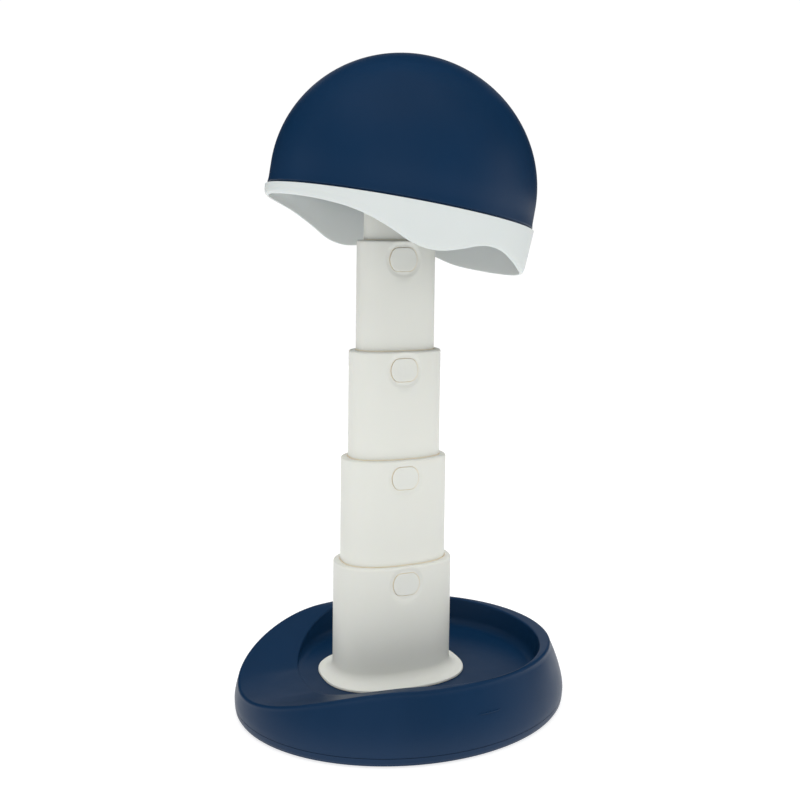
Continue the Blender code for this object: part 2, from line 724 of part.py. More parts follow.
def knuckle(parent):
    """Plug in the neck tube's mouth with the pivot ear standing on it."""
    top = tube_top(4)
    plug_rows = [
        tube_loop(4, top - PLUG_DEPTH, TUBE_WALL + GAP + PLUG_LEAD / 2),
        tube_loop(4, top - PLUG_DEPTH + PLUG_LEAD, TUBE_WALL + GAP),
        tube_loop(4, top + GAP, TUBE_WALL + GAP),
        tube_loop(4, top + GAP, NECK_ROUND),
        tube_loop(4, top + KNUCKLE_PLATE, NECK_ROUND),
    ]
    body = capped("neck_knuckle", plug_rows, "plastic", parent)
    outline = []
    for step in range(13):
        angle = math.pi * step / 12
        x = COLUMN_X + KNUCKLE_RADIUS * math.cos(angle)
        outline.append(Vector((x, -KNUCKLE_HALF_WIDTH, PIVOT_Z + KNUCKLE_RADIUS * math.sin(angle))))
    root = top + KNUCKLE_PLATE / 2
    outline.append(Vector((COLUMN_X - KNUCKLE_FOOT, -KNUCKLE_HALF_WIDTH, root)))
    outline.append(Vector((COLUMN_X + KNUCKLE_FOOT, -KNUCKLE_HALF_WIDTH, root)))
    ear = extruded("ear", outline, Vector((0, 2 * KNUCKLE_HALF_WIDTH, 0)), "plastic")
    apply_boolean(body, ear, "UNION")
    apply_boolean(body, pin_hole((COLUMN_X, 0, PIVOT_Z)))
    reach = half_sizes(4, PLUG_SCREW_DROP)[0]
    seat = reach - PLUG_SCREW_SINK - SCREW_HEAD_HEIGHT - GAP
    for side, axis in ((1, "X"), (-1, "-X")):
        start = (COLUMN_X + side * PLUG_SCREW_X, 0, top - PLUG_SCREW_DROP)
        apply_boolean(body, screw_hole(start, PLUG_SCREW_LENGTH + OVERCUT, axis))
        start = (COLUMN_X + side * seat, 0, top - PLUG_SCREW_DROP)
        apply_boolean(body, screw_hole(start, 2 * OVERCUT, axis, SCREW_SINK))
    return body


def pin_hole(centre):
    """Cutting body for the tilt pin, right through the knuckle, washers, cheeks and nut."""
    reach = KNUCKLE_HALF_WIDTH + WASHER_THICKNESS + CHEEK_THICKNESS + NUT_HEIGHT + 2 * OVERCUT
    profile = [(PIN_RADIUS + GAP, -reach), (PIN_RADIUS + GAP, reach)]
    return turned("hole", profile, centre, "plastic", axis="Y")


def knuckle_screws(tube, parent):
    """Two small screws sunk in the neck tube's ends that hold the knuckle's plug."""
    z = tube_top(4) - PLUG_SCREW_DROP
    reach = half_sizes(4, PLUG_SCREW_DROP)[0]
    for side, word in ((1, "back"), (-1, "front")):
        axis = "-X" if side > 0 else "X"
        start = (COLUMN_X + side * (reach + OVERCUT), 0, z)
        apply_boolean(tube, screw_hole(start, TUBE_WALL + 2 * OVERCUT, axis, SCREW_SINK))
        start = (COLUMN_X + side * (reach - PLUG_SCREW_SINK), 0, z)
        screw("knuckle_screw_" + word, start, PLUG_SCREW_LENGTH, axis, parent)


# ---------------------------------------------------------------- head (its own frame, pivot at 0)
def skirt_depth(degrees):
    """Smooth curve through the skirt's outline."""
    points = SKIRT_OUTLINE
    count = len(points)
    for k in range(count - 1):
        (x0, y0), (x1, y1) = points[k], points[k + 1]
        if degrees <= x1 or k == count - 2:
            before = points[k - 1] if k else (-points[1][0], points[1][1])
            after = points[k + 2] if k + 2 < count else (360 - points[-2][0], points[-2][1])
            slope0 = (y1 - before[1]) / (x1 - before[0])
            slope1 = (after[1] - y0) / (after[0] - x0)
            span = x1 - x0
            t = (degrees - x0) / span
            return (
                y0 * (1 + 2 * t) * (1 - t) ** 2
                + slope0 * span * t * (1 - t) ** 2
                + y1 * t * t * (3 - 2 * t)
                + slope1 * span * t * t * (t - 1)
            )
    return points[-1][1]


def head_loop(z, inset, count=HEAD_SIDES):
    """An oval round the head; z is above the seam and may vary round the loop."""
    points = []
    for i in range(count):
        angle = 2 * math.pi * i / count
        height = z(i) if callable(z) else z
        shrink = inset(i) if callable(inset) else inset
        x = (DOME_HALF_LENGTH - shrink) * math.cos(angle) - PIVOT_BEHIND
        y = (DOME_HALF_WIDTH - shrink) * math.sin(angle)
        points.append(Vector((x, y, height - PIVOT_ABOVE_SEAM)))
    return points


def dome_rows(inset):
    """Loops from the pole down to the seam, for the outer face or one inset from it."""
    rows = []
    for turn in (85, 74, 63, 52, 41, 31, 21, 10, 0):
        angle = math.radians(turn)
        a = (DOME_HALF_LENGTH - inset) * math.cos(angle)
        b = (DOME_HALF_WIDTH - inset) * math.cos(angle)
        z = DOME_BAND + (DOME_CAP - inset) * math.sin(angle) - PIVOT_ABOVE_SEAM
        rows.append(superellipse(a, b, z, centre_x=-PIVOT_BEHIND, count=HEAD_SIDES))
    return rows


def dome_shell(parent):
    """The head's upper shell, with four screw bosses hanging inside its crown."""
    inside = dome_rows(DOME_WALL)
    outside = dome_rows(0.0)
    low = [head_loop(0.0, DOME_WALL), head_loop(0.0, -DOME_LIP), head_loop(DOME_LIP_HEIGHT, 0.0)]
    shell = capped("dome_shell", inside + low + list(reversed(outside)), "navy", parent)
    bottom = MOUNT_RISE + MOUNT_PLATE + GAP
    for x, y in four(MOUNT_SCREW_X, MOUNT_SCREW_Y):
        reach_x = (x + PIVOT_BEHIND) / (DOME_HALF_LENGTH - DOME_WALL)
        reach_y = y / (DOME_HALF_WIDTH - DOME_WALL)
        crown = DOME_BAND + (DOME_CAP - DOME_WALL) * math.sqrt(1 - reach_x**2 - reach_y**2)
        top = crown - PIVOT_ABOVE_SEAM - GAP
        rows = [(MOUNT_BOSS_RADIUS, bottom), (MOUNT_BOSS_RADIUS, top)]
        apply_boolean(shell, turned("boss", rows, (x, y, 0), "navy"), "UNION")
        apply_boolean(shell, screw_hole((x, y, 0), bottom + CROWN_SCREW_HOLE))
    return shell


def skirt_rim(parent):
    """White skirt under the seam: brow, ear arches and nape, with a spigot inside the shell."""
    turns = [2 * math.pi * i / HEAD_SIDES for i in range(HEAD_SIDES)]
    depth = [skirt_depth(math.degrees(abs(math.pi - turn))) for turn in turns]
    edge = SKIRT_EDGE

    def outer(fraction, extra=0.0):
        return head_loop(
            lambda i: -depth[i] * fraction,
            lambda i: SKIRT_TAPER * depth[i] * fraction - SKIRT_PROUD + extra,
        )

    def lip(lift, extra):
        return head_loop(
            lambda i: -depth[i] + lift,
            lambda i: SKIRT_TAPER * depth[i] - SKIRT_PROUD + extra,
        )

    spigot = DOME_WALL + GAP
    rows = [
        lip(0.0, edge),
        lip(edge * 0.3, edge * 0.3),
        lip(edge, 0.0),
        outer(0.5),
        head_loop(-SKIRT_SHOULDER, -SKIRT_PROUD),
        head_loop(-GAP, -SKIRT_PROUD + SKIRT_SHOULDER / 2),
        head_loop(-GAP, spigot),
        head_loop(SPIGOT_HEIGHT, spigot),
        head_loop(SPIGOT_HEIGHT, spigot + SPIGOT_WALL),
        head_loop(-GAP, spigot + SPIGOT_WALL),
        lip(edge, SKIRT_WALL),
        lip(edge * 0.3, SKIRT_WALL - edge * 0.3),
        lip(0.0, SKIRT_WALL - edge),
    ]
    return ring("skirt_rim", rows, "white", parent)


def head_mount(parent):
    """Plate screwed under the crown, with two cheeks that straddle the knuckle."""
    low = MOUNT_RISE
    high = MOUNT_RISE + MOUNT_PLATE
    rows = [
        superellipse(MOUNT_HALF_LENGTH, MOUNT_HALF_WIDTH, low, TUBE_SQUARENESS, count=32),
        superellipse(MOUNT_HALF_LENGTH, MOUNT_HALF_WIDTH, high, TUBE_SQUARENESS, count=32),
    ]
    body = capped("head_mount", rows, "plastic", parent)
    inner = KNUCKLE_HALF_WIDTH + WASHER_THICKNESS + 2 * GAP
    for side in (1, -1):
        y0 = side * inner
        outline = []
        for step in range(13):
            angle = math.pi + math.pi * step / 12
            x = KNUCKLE_RADIUS * math.cos(angle)
            outline.append(Vector((x, y0, KNUCKLE_RADIUS * math.sin(angle))))
        outline.append(Vector((CHEEK_FOOT, y0, low + MOUNT_PLATE / 2)))
        outline.append(Vector((-CHEEK_FOOT, y0, low + MOUNT_PLATE / 2)))
        cheek = extruded("cheek", outline, Vector((0, side * CHEEK_THICKNESS, 0)), "plastic")
        apply_boolean(body, cheek, "UNION")
    apply_boolean(body, pin_hole((0, 0, 0)))
    for x, y in four(MOUNT_SCREW_X, MOUNT_SCREW_Y):
        apply_boolean(body, screw_hole((x, y, low - OVERCUT), MOUNT_PLATE + 2 * OVERCUT))
    return body


def pivot_hardware(parent):
    """Shouldered pin, its nut, the two friction washers and the crown screws."""
    washer_start = KNUCKLE_HALF_WIDTH + GAP
    cheek_end = KNUCKLE_HALF_WIDTH + WASHER_THICKNESS + 2 * GAP + CHEEK_THICKNESS
    head_start = -cheek_end - GAP - PIN_HEAD_HEIGHT
    nut_start = cheek_end + GAP
    nut_end = nut_start + NUT_HEIGHT
    tip = nut_end + PIN_TIP
    profile = [
        (PIN_HEAD_RADIUS - PIN_BEVEL, head_start),
        (PIN_HEAD_RADIUS, head_start + PIN_BEVEL),
        (PIN_HEAD_RADIUS, head_start + PIN_HEAD_HEIGHT),
        (PIN_RADIUS, head_start + PIN_HEAD_HEIGHT),
        (PIN_RADIUS, tip - PIN_BEVEL),
        (PIN_RADIUS - PIN_BEVEL, tip),
    ]
    turned("tilt_pin", profile, (0, 0, 0), "steel", axis="Y", parent=parent)
    bores = (
        ("tilt_nut", NUT_RADIUS, nut_start, nut_end, 6, "steel"),
        ("washer_front", WASHER_RADIUS, -washer_start - WASHER_THICKNESS, -washer_start, SMALL, "acetal"),
        ("washer_rear", WASHER_RADIUS, washer_start, washer_start + WASHER_THICKNESS, SMALL, "acetal"),
    )
    for name, radius, start, end, sides, kind in bores:
        body = turned(name, [(radius, start), (radius, end)], (0, 0, 0), kind, "Y", parent, sides)
        apply_boolean(body, pin_hole((0, 0, 0)))
    for n, (x, y) in enumerate(four(MOUNT_SCREW_X, MOUNT_SCREW_Y), 1):
        start = MOUNT_RISE - GAP - SCREW_HEAD_HEIGHT
        screw("crown_screw_%d" % n, (x, y, start), CROWN_SCREW_LENGTH, parent=parent)


def empty(name, location, parent=None):
    obj = bpy.data.objects.new(name, None)
    bpy.context.collection.objects.link(obj)
    obj.location = location
    obj.parent = parent
    return obj


def build():
    clear_scene()
    tray_shell(None)
    base_pan(None)
    feet_and_base_screws(None)
    base_tube(None)
    for stage in range(1, len(STAGES)):
        tube = sliding_tube(stage, None)
        guide_collar(stage, None)
        latch(stage, None)
    for stage in range(len(STAGES) - 1):
        button(stage, None)
    knuckle(None)
    knuckle_screws(tube, None)
    head = empty("head_pivot", (COLUMN_X, 0, PIVOT_Z))
    head.rotation_euler = (0, HEAD_TILT, 0)
    dome_shell(head)
    skirt_rim(head)
    head_mount(head)
    pivot_hardware(head)


build()
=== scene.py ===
"""Looks of the telescopic wig and cap stand: fine surfaces, plastics and studio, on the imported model.

Units are metres, +Z is up, +X points to the back of the head and the buttons face -Y.
"""
import math

import bmesh
import bpy
from mathutils import Matrix, Vector


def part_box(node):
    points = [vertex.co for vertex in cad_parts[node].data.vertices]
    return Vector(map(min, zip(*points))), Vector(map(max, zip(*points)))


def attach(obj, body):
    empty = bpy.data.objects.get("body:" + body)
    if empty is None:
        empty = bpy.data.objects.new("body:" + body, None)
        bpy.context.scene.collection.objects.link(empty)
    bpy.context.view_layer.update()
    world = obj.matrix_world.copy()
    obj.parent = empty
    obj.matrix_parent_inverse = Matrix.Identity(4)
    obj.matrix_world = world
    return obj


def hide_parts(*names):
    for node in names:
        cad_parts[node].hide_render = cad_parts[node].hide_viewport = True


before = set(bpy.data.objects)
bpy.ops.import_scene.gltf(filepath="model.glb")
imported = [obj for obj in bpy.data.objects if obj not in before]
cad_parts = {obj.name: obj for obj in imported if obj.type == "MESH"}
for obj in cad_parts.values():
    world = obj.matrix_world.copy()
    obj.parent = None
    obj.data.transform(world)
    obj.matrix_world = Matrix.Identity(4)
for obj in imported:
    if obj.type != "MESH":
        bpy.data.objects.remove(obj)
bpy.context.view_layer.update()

# ---------------------------------------------------------------- sizes, as in the part
GAP = 0.0003

TRAY_LENGTH = 0.2114
TRAY_WIDTH = 0.1784
TRAY_BELLY = 0.0090
TRAY_TUCK = 0.0018
TRAY_LEAN = 0.0106
TRAY_LEAN_CURVE = 1.5
TRAY_WALL = 0.0024
TRAY_FLOOR = 0.0206
TRAY_PARTING = 0.0060
TRAY_FRONT_HEIGHT = 0.0192
TRAY_SIDE_HEIGHT = 0.0398
TRAY_BACK_DROP = 0.0026
TRAY_RISE_ANGLE = math.radians(72)
CREST_OUTER_ROUND = 0.0020
CREST_INNER_ROUND = 0.0013
RIM_THICKNESS = 0.0050
RIM_INNER_WALL = 0.0026
RECESS_CENTRE = 0.0115
RECESS_HALF_LENGTH = 0.0765
RECESS_HALF_WIDTH = 0.0753
RECESS_DRAFT = 0.12
RECESS_FILLET = 0.0055
CREST_FADE = 0.0006
CREST_BEND = 0.35
FILLET_SHARE = 0.9
PAN_BOTTOM = 0.0005
PAN_PLATE = 0.0026
PAN_EDGE = 0.0011
PAN_INSET = 0.012
PAN_SINK = 0.0016
PAN_HOLE = 0.0045
FOOT_SINK = 0.0008
FOOT_RADIUS = 0.007
MARK_ANGLE = math.radians(281)
MARK_LENGTH = 0.0165
MARK_HEIGHT = 0.0240
MARK_RELIEF = 0.0006
MARK_THICKNESS = 0.00045

SCREW_RADIUS = 0.0015
SCREW_HEAD_RADIUS = 0.0029
SCREW_HEAD_HEIGHT = 0.0017
SCREW_BEVEL = 0.0001
SCREW_POINT = 0.0008
RECESS_SLOT = 0.0009
RECESS_REACH = 0.0019
RECESS_DEPTH = 0.0010
PAN_SCREW_LENGTH = 0.0100
FLANGE_SCREW_LENGTH = 0.0038
PLUG_SCREW_LENGTH = 0.0070
PLUG_SCREW_SINK = 0.0003
CROWN_SCREW_LENGTH = 0.0085
OVERCUT = 0.001
SCREW_HOLE = SCREW_RADIUS + GAP
SCREW_SINK = SCREW_HEAD_RADIUS + GAP

COLUMN_X = -0.0072
STAGES = ("base", "lower", "middle", "upper", "neck")
NECK = STAGES.index("neck")
BASE_TUBE_HALF_LENGTH = 0.0370
BASE_TUBE_HALF_WIDTH = 0.0235
STAGE_STEP_LENGTH = 0.0043
STAGE_STEP_WIDTH = 0.0038
TUBE_WALL = 0.0016
TUBE_DRAFT = 0.004
TUBE_SQUARENESS = 2.5
TUBE_LENGTH = 0.086
BASE_TUBE_TOP = 0.0939
STAGE_RISE = 0.0646
LIP_LENGTH_IN = 0.0039
LIP_WIDTH_IN = 0.0034
LIP_HEIGHT = 0.0022
RIM_ROUND = 0.0014
LIP_ROUND = 0.00025
NECK_ROUND = 0.0007
FLANGE_HALF_LENGTH = 0.0455
FLANGE_HALF_WIDTH = 0.0345
FLANGE_TOP = 0.0224
FLANGE_FILLET = 0.006
FLANGE_EDGE = 0.0008

BUTTON_DROP = 0.0110
BUTTON_RADIUS = 0.0084
BUTTON_HALF_HEIGHT = 0.0069
BUTTON_FACE = 0.0005
BUTTON_PLATE_BACK = 0.00145
BUTTON_EDGE = 0.0003
BUTTON_SLIT = 0.00014
HOLE_EDGE = 0.0002
DISH_OUTER = 0.0116
DISH_INNER = 0.0086
DISH_DEPTH = 0.0008
BUTTON_HOLLOW = 0.00022
LEG_HALF_HEIGHT = 0.0040
LEG_INNER = 0.0057
LEG_OUTER = 0.0072
LEG_TOP = 0.0012
LEG_BOTTOM = 0.00315
EAR_OUTER = 0.0098
EAR_TOP = 0.00255
PATCH_MARGIN = 0.0004
PATCH_ABOVE = 0.0088
PATCH_BELOW = 0.0100
WINDOW_HALF_LENGTH = 0.0108
WINDOW_HALF_HEIGHT = 0.0081
WINDOW_OUTSIDE = 0.002
WINDOW_INSIDE = 0.0035

HEAD_TILT = math.radians(9.65)
PIVOT_Z = 0.3620
PIVOT_BEHIND = -0.01186
PIVOT_ABOVE_SEAM = 0.0546
DOME_HALF_LENGTH = 0.0793
DOME_HALF_WIDTH = 0.0727
DOME_BAND = 0.0125
DOME_CAP = 0.0750
DOME_WALL = 0.0022
DOME_STRAIGHT = 0.0080
SKIRT_PROUD = 0.0015
SKIRT_WALL = 0.0026
SKIRT_TAPER = 0.06
HEM_SIDE = 0.0021
HEM_LIFT = 0.0030
HEM_INNER = 0.0005
SKIRT_LEDGE = 0.0006
SEAM_GROOVE_HEIGHT = 0.0006
SEAM_GROOVE_DEPTH = 0.0005
SEAM_LIP = 0.0003
SEAM_BEVEL = 0.0001
SEAM_LIP_LOW = 0.0004
SEAM_LIP_HIGH = 0.0008
SEAM_FADE = 0.0034
SPIGOT_HEIGHT = 0.006
SPIGOT_WALL = 0.002
SPIGOT_BEVEL = 0.0004
SKIRT_SHOULDER = 0.0006
BOSS_BEVEL = 0.0003
BOSS_HOLE_DEPTH = 0.006
# skirt depth under the seam, by angle from the front: brow, ear lobe, ear arch, nape
SKIRT_OUTLINE = (
    (0.0, 0.0064),
    (32.0, 0.0072),
    (47.0, 0.0090),
    (55.0, 0.0112),
    (62.0, 0.0142),
    (68.0, 0.0174),
    (75.0, 0.0217),
    (81.0, 0.0237),
    (88.0, 0.0238),
    (98.0, 0.0204),
    (104.0, 0.0177),
    (111.0, 0.0162),
    (120.0, 0.0173),
    (129.5, 0.0208),
    (142.0, 0.0248),
    (160.0, 0.0264),
    (180.0, 0.0268),
)
KNUCKLE_RADIUS = 0.0070
KNUCKLE_HALF_WIDTH = 0.0045
KNUCKLE_FOOT = 0.009
KNUCKLE_PLATE = 0.0015
PLUG_DEPTH = 0.012
PLUG_LEAD = 0.001
PLUG_SCREW_DROP = 0.006
PLUG_SCREW_X = 0.010
WASHER_THICKNESS = 0.0010
WASHER_RADIUS = 0.0062
CHEEK_THICKNESS = 0.0030
CHEEK_FOOT = 0.011
PIN_HEAD_RADIUS = 0.0045
PIN_HEAD_HEIGHT = 0.0022
PIN_HEAD_ROUND = 0.001
PIN_BEVEL = 0.0004
PIN_TIP = 0.0008
NUT_RADIUS = 0.0044
NUT_HEIGHT = 0.0030
SMALL_EDGE = 0.0003
MOUNT_HALF_LENGTH = 0.0340
MOUNT_HALF_WIDTH = 0.0260
MOUNT_RISE = 0.0083
MOUNT_PLATE = 0.0030
MOUNT_SCREW_X = 0.0250
MOUNT_SCREW_Y = 0.0165
MOUNT_BOSS_RADIUS = 0.0040
PIN_RADIUS = 0.0025

AROUND_TRAY = 288
AROUND_TUBE = 176
AROUND_HEAD = 256
AROUND_BUTTON = 96
ROUND = 48
QUARTER = math.pi / 2


# ---------------------------------------------------------------- mesh helpers
def smooth(t):
    t = min(max(t, 0.0), 1.0)
    return t * t * (3 - 2 * t)


def steps(count):
    """Fractions from 0 to 1, both included."""
    return [i / count for i in range(count + 1)]


def turns(count):
    """Angles once round, from +X."""
    return [2 * math.pi * i / count for i in range(count)]


def bend_away(t):
    """Sideways share of a quarter round that starts level: 0 to 1."""
    return 1 - math.cos(QUARTER * t)


def bend_level(t):
    """Sideways share of a quarter round that ends level: 1 to 0."""
    return 1 - math.sin(QUARTER * t)


def superellipse(half_length, half_width, z, squareness=2.0, centre_x=0.0, count=ROUND):
    points = []
    for angle in turns(count):
        c = math.cos(angle)
        s = math.sin(angle)
        x = half_length * math.copysign(abs(c) ** (2 / squareness), c)
        y = half_width * math.copysign(abs(s) ** (2 / squareness), s)
        points.append(Vector((centre_x + x, y, z)))
    return points


def bridge(bm, low, high):
    count = len(low)
    for i in range(count):
        j = (i + 1) % count
        bm.faces.new((low[i], low[j], high[j], high[i]))


def add_rows(bm, rows, wrap=False, caps=False):
    loops = [[bm.verts.new(p) for p in row] for row in rows]
    for low, high in zip(loops, loops[1:]):
        bridge(bm, low, high)
    if wrap:
        bridge(bm, loops[-1], loops[0])
    if caps:
        bm.faces.new(list(reversed(loops[0])))
        bm.faces.new(loops[-1])
    return loops


def to_object(name, bm, sharp=40):
    bmesh.ops.recalc_face_normals(bm, faces=bm.faces)
    mesh = bpy.data.meshes.new(name)
    bm.to_mesh(mesh)
    bm.free()
    mesh.shade_smooth()
    mesh.set_sharp_from_angle(angle=math.radians(sharp))
    obj = bpy.data.objects.new(name, mesh)
    bpy.context.collection.objects.link(obj)
    return obj


def cut(obj, tool, operation="DIFFERENCE"):
    modifier = obj.modifiers.new("cut", "BOOLEAN")
    modifier.operation = operation
    modifier.solver = "EXACT"
    modifier.object = tool
    bpy.context.view_layer.update()
    graph = bpy.context.evaluated_depsgraph_get()
    mesh = bpy.data.meshes.new_from_object(obj.evaluated_get(graph))
    obj.modifiers.clear()
    obj.data = mesh
    bpy.data.objects.remove(tool, do_unlink=True)


def turned_rows(profile, centre, turn=None, count=ROUND):
    rows = []
    for radius, height in profile:
        row = superellipse(radius, radius, height, count=count)
        rows.append([(turn @ p if turn else p) + Vector(centre) for p in row])
    return rows


def turned(name, profile, centre, turn=None, count=ROUND, sharp=40):
    bm = bmesh.new()
    add_rows(bm, turned_rows(profile, centre, turn, count), caps=True)
    return to_object(name, bm, sharp)


def box(name, low, high):
    bm = bmesh.new()
    (x0, y0, z0), (x1, y1, z1) = low, high
    corners = ((x0, y0), (x1, y0), (x1, y1), (x0, y1))
    add_rows(bm, [[Vector((x, y, z)) for x, y in corners] for z in (z0, z1)], caps=True)
    return to_object(name, bm)


def four(x, y):
    return [(x, y), (-x, y), (-x, -y), (x, -y)]


def place(obj, body, node, material):
    """obj takes a CAD node's place on a body and gets its material."""
    obj.data.materials.clear()
    obj.data.materials.append(material)
    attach(obj, body)
    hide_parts(node)


HEAD_FRAME = Matrix.Translation((COLUMN_X, 0, PIVOT_Z)) @ Matrix.Rotation(HEAD_TILT, 4, "Y")


# ---------------------------------------------------------------- materials
# places of the colour sockets on a Mix node, whose names repeat for each data type
MIX_FACTOR, MIX_FIRST, MIX_SECOND, MIX_RESULT = 0, 6, 7, 2
# reach of the painted warm light in narrow gaps
GAP_REACH = 0.0011
SHEEN_SPREAD = 0.035
MILKY_RADIUS = (0.0070, 0.0042, 0.0020)


def new_material(name):
    mat = bpy.data.materials.new(name)
    mat.use_nodes = True
    tree = mat.node_tree
    return mat, tree.nodes, tree.links, tree.nodes["Principled BSDF"]


def noise(nodes, links, coords, scale, detail, roughness=0.5, stretch=None):
    source = coords
    if stretch:
        mapping = nodes.new("ShaderNodeMapping")
        mapping.inputs["Scale"].default_value = stretch
        links.new(coords, mapping.inputs["Vector"])
        source = mapping.outputs["Vector"]
    node = nodes.new("ShaderNodeTexNoise")
    node.inputs["Scale"].default_value = scale
    node.inputs["Detail"].default_value = detail
    node.inputs["Roughness"].default_value = roughness
    links.new(source, node.inputs["Vector"])
    return node.outputs["Fac"]


def spread(nodes, links, value, low, high, span=(0.3, 0.7)):
    """Map a noise value to a range."""
    node = nodes.new("ShaderNodeMapRange")
    node.inputs["From Min"].default_value = span[0]
    node.inputs["From Max"].default_value = span[1]
    node.inputs["To Min"].default_value = low
    node.inputs["To Max"].default_value = high
    links.new(value, node.inputs["Value"])
    return node.outputs["Result"]


def two_tone(nodes, links, value, dark, light, span=(0.35, 0.65)):
    ramp = nodes.new("ShaderNodeValToRGB")
    ramp.color_ramp.elements[0].position = span[0]
    ramp.color_ramp.elements[0].color = (*dark, 1)
    ramp.color_ramp.elements[1].position = span[1]
    ramp.color_ramp.elements[1].color = (*light, 1)
    links.new(value, ramp.inputs["Fac"])
    return ramp.outputs["Color"]


def bump(nodes, links, value, distance, strength, onto=None):
    node = nodes.new("ShaderNodeBump")
    node.inputs["Distance"].default_value = distance
    node.inputs["Strength"].default_value = strength
    links.new(value, node.inputs["Height"])
    if onto:
        links.new(onto, node.inputs["Normal"])
    return node.outputs["Normal"]


def paint_gap_light(nodes, links, colour, painted_gap_light):
    """Paint warm light into narrow gaps of the cream plastic: a painted colour, set by ambient occlusion,
    standing in for light that has bounced about inside and comes out warmer.
    """
    shade = nodes.new("ShaderNodeAmbientOcclusion")
    shade.samples = 6
    shade.inputs["Distance"].default_value = GAP_REACH
    mix = nodes.new("ShaderNodeMix")
    mix.data_type = "RGBA"
    links.new(shade.outputs["AO"], mix.inputs[MIX_FACTOR])
    mix.inputs[MIX_FIRST].default_value = (*painted_gap_light, 1)
    links.new(colour, mix.inputs[MIX_SECOND])
    return mix.outputs[MIX_RESULT]


def moulded_plastic(name, dark, light, rough, specular, grain, milky=0.0, painted_gap_light=None):
    """Injection-moulded plastic: faint flow tones, uneven sheen and a fine spark-eroded grain."""
    mat, nodes, links, shader = new_material(name)
    coords = nodes.new("ShaderNodeTexCoord").outputs["Object"]
    flow = noise(nodes, links, coords, scale=14, detail=4, stretch=(1.0, 1.0, 0.35))
    colour = two_tone(nodes, links, flow, dark, light)
    # painted light: when given, narrow gaps get a warm colour standing in for bounced light
    if painted_gap_light:
        colour = paint_gap_light(nodes, links, colour, painted_gap_light)
    links.new(colour, shader.inputs["Base Color"])
    cloud = noise(nodes, links, coords, scale=55, detail=5, roughness=0.6)
    sheen = spread(nodes, links, cloud, rough - SHEEN_SPREAD, rough + SHEEN_SPREAD)
    links.new(sheen, shader.inputs["Roughness"])
    fine = noise(nodes, links, coords, scale=2600, detail=2, roughness=0.6)
    wave = noise(nodes, links, coords, scale=32, detail=2, roughness=0.4)
    soft = bump(nodes, links, wave, distance=0.0004, strength=0.12)
    rough_face = bump(nodes, links, fine, distance=0.00003, strength=grain, onto=soft)
    links.new(rough_face, shader.inputs["Normal"])
    shader.inputs["Specular IOR Level"].default_value = specular
    if milky:
        shader.inputs["Subsurface Weight"].default_value = milky
        shader.inputs["Subsurface Radius"].default_value = MILKY_RADIUS
        shader.inputs["Subsurface Scale"].default_value = 1.0
    return mat


def rubber_material():
    mat, nodes, links, shader = new_material("foot_rubber")
    coords = nodes.new("ShaderNodeTexCoord").outputs["Object"]
    speck = noise(nodes, links, coords, scale=900, detail=3, roughness=0.7)
    colour = two_tone(nodes, links, speck, (0.018, 0.018, 0.019), (0.035, 0.035, 0.036))
    links.new(colour, shader.inputs["Base Color"])
    links.new(spread(nodes, links, speck, 0.75, 0.92), shader.inputs["Roughness"])
    links.new(bump(nodes, links, speck, distance=0.00006, strength=0.5), shader.inputs["Normal"])
    return mat


def steel_material():
    mat, nodes, links, shader = new_material("zinc_steel")
    coords = nodes.new("ShaderNodeTexCoord").outputs["Object"]
    tone = noise(nodes, links, coords, scale=320, detail=3)
    colour = two_tone(nodes, links, tone, (0.52, 0.53, 0.55), (0.68, 0.69, 0.70))
    links.new(colour, shader.inputs["Base Color"])
    turning = noise(nodes, links, coords, scale=1500, detail=2, stretch=(0.2, 0.2, 4.0))
    links.new(spread(nodes, links, turning, 0.22, 0.38), shader.inputs["Roughness"])
    links.new(bump(nodes, links, turning, distance=0.00002, strength=0.3), shader.inputs["Normal"])
    shader.inputs["Metallic"].default_value = 1.0
    return mat


NAVY = moulded_plastic(
    "navy_plastic", (0.0030, 0.0240, 0.067), (0.0042, 0.0280, 0.077), rough=0.40, specular=0.20, grain=0.25
)
# the ivory's narrow gaps get painted warm light, a colour standing in for light bounced about inside the
# plastic
IVORY = moulded_plastic(
    "ivory_plastic", (0.740, 0.745, 0.690), (0.760, 0.765, 0.710), rough=0.42, specular=0.22, grain=0.12,
    milky=0.06, painted_gap_light=(0.95, 0.78, 0.50),
)
WHITE = moulded_plastic(
    "white_plastic", (0.650, 0.690, 0.682), (0.670, 0.710, 0.702), rough=0.42, specular=0.10, grain=0.12,
    milky=0.06,
)
ACETAL = moulded_plastic(
    "acetal", (0.70, 0.70, 0.66), (0.76, 0.76, 0.72), rough=0.42, specular=0.45, grain=0.10, milky=0.05
)
GREY = moulded_plastic(
    "grey_plastic", (0.20, 0.21, 0.225), (0.24, 0.25, 0.265), rough=0.50, specular=0.45, grain=0.35
)
RUBBER = rubber_material()
STEEL = steel_material()


# ---------------------------------------------------------------- tray
def crest_height(angle):
    """The rim is low at the front and climbs smoothly to the sides and back."""
    from_front = abs(math.pi - angle)
    rise = smooth(from_front / TRAY_RISE_ANGLE)
    back = smooth((from_front - QUARTER) / QUARTER)
    return TRAY_FRONT_HEIGHT + (TRAY_SIDE_HEIGHT - TRAY_FRONT_HEIGHT) * rise - TRAY_BACK_DROP * back


def lean(z):
    if z < TRAY_BELLY:
        return TRAY_TUCK * (1 - math.sqrt(1 - ((TRAY_BELLY - z) / TRAY_BELLY) ** 2))
    return TRAY_LEAN * ((z - TRAY_BELLY) / (TRAY_SIDE_HEIGHT - TRAY_BELLY)) ** TRAY_LEAN_CURVE


def wall_point(angle, inset, z):
    x = (TRAY_LENGTH / 2 - inset) * math.cos(angle)
    y = (TRAY_WIDTH / 2 - inset) * math.sin(angle)
    return Vector((x, y, z))


def recess_point(angle, inset, z):
    x = RECESS_CENTRE + (RECESS_HALF_LENGTH - inset) * math.cos(angle)
    y = (RECESS_HALF_WIDTH - inset) * math.sin(angle)
    return Vector((x, y, z))


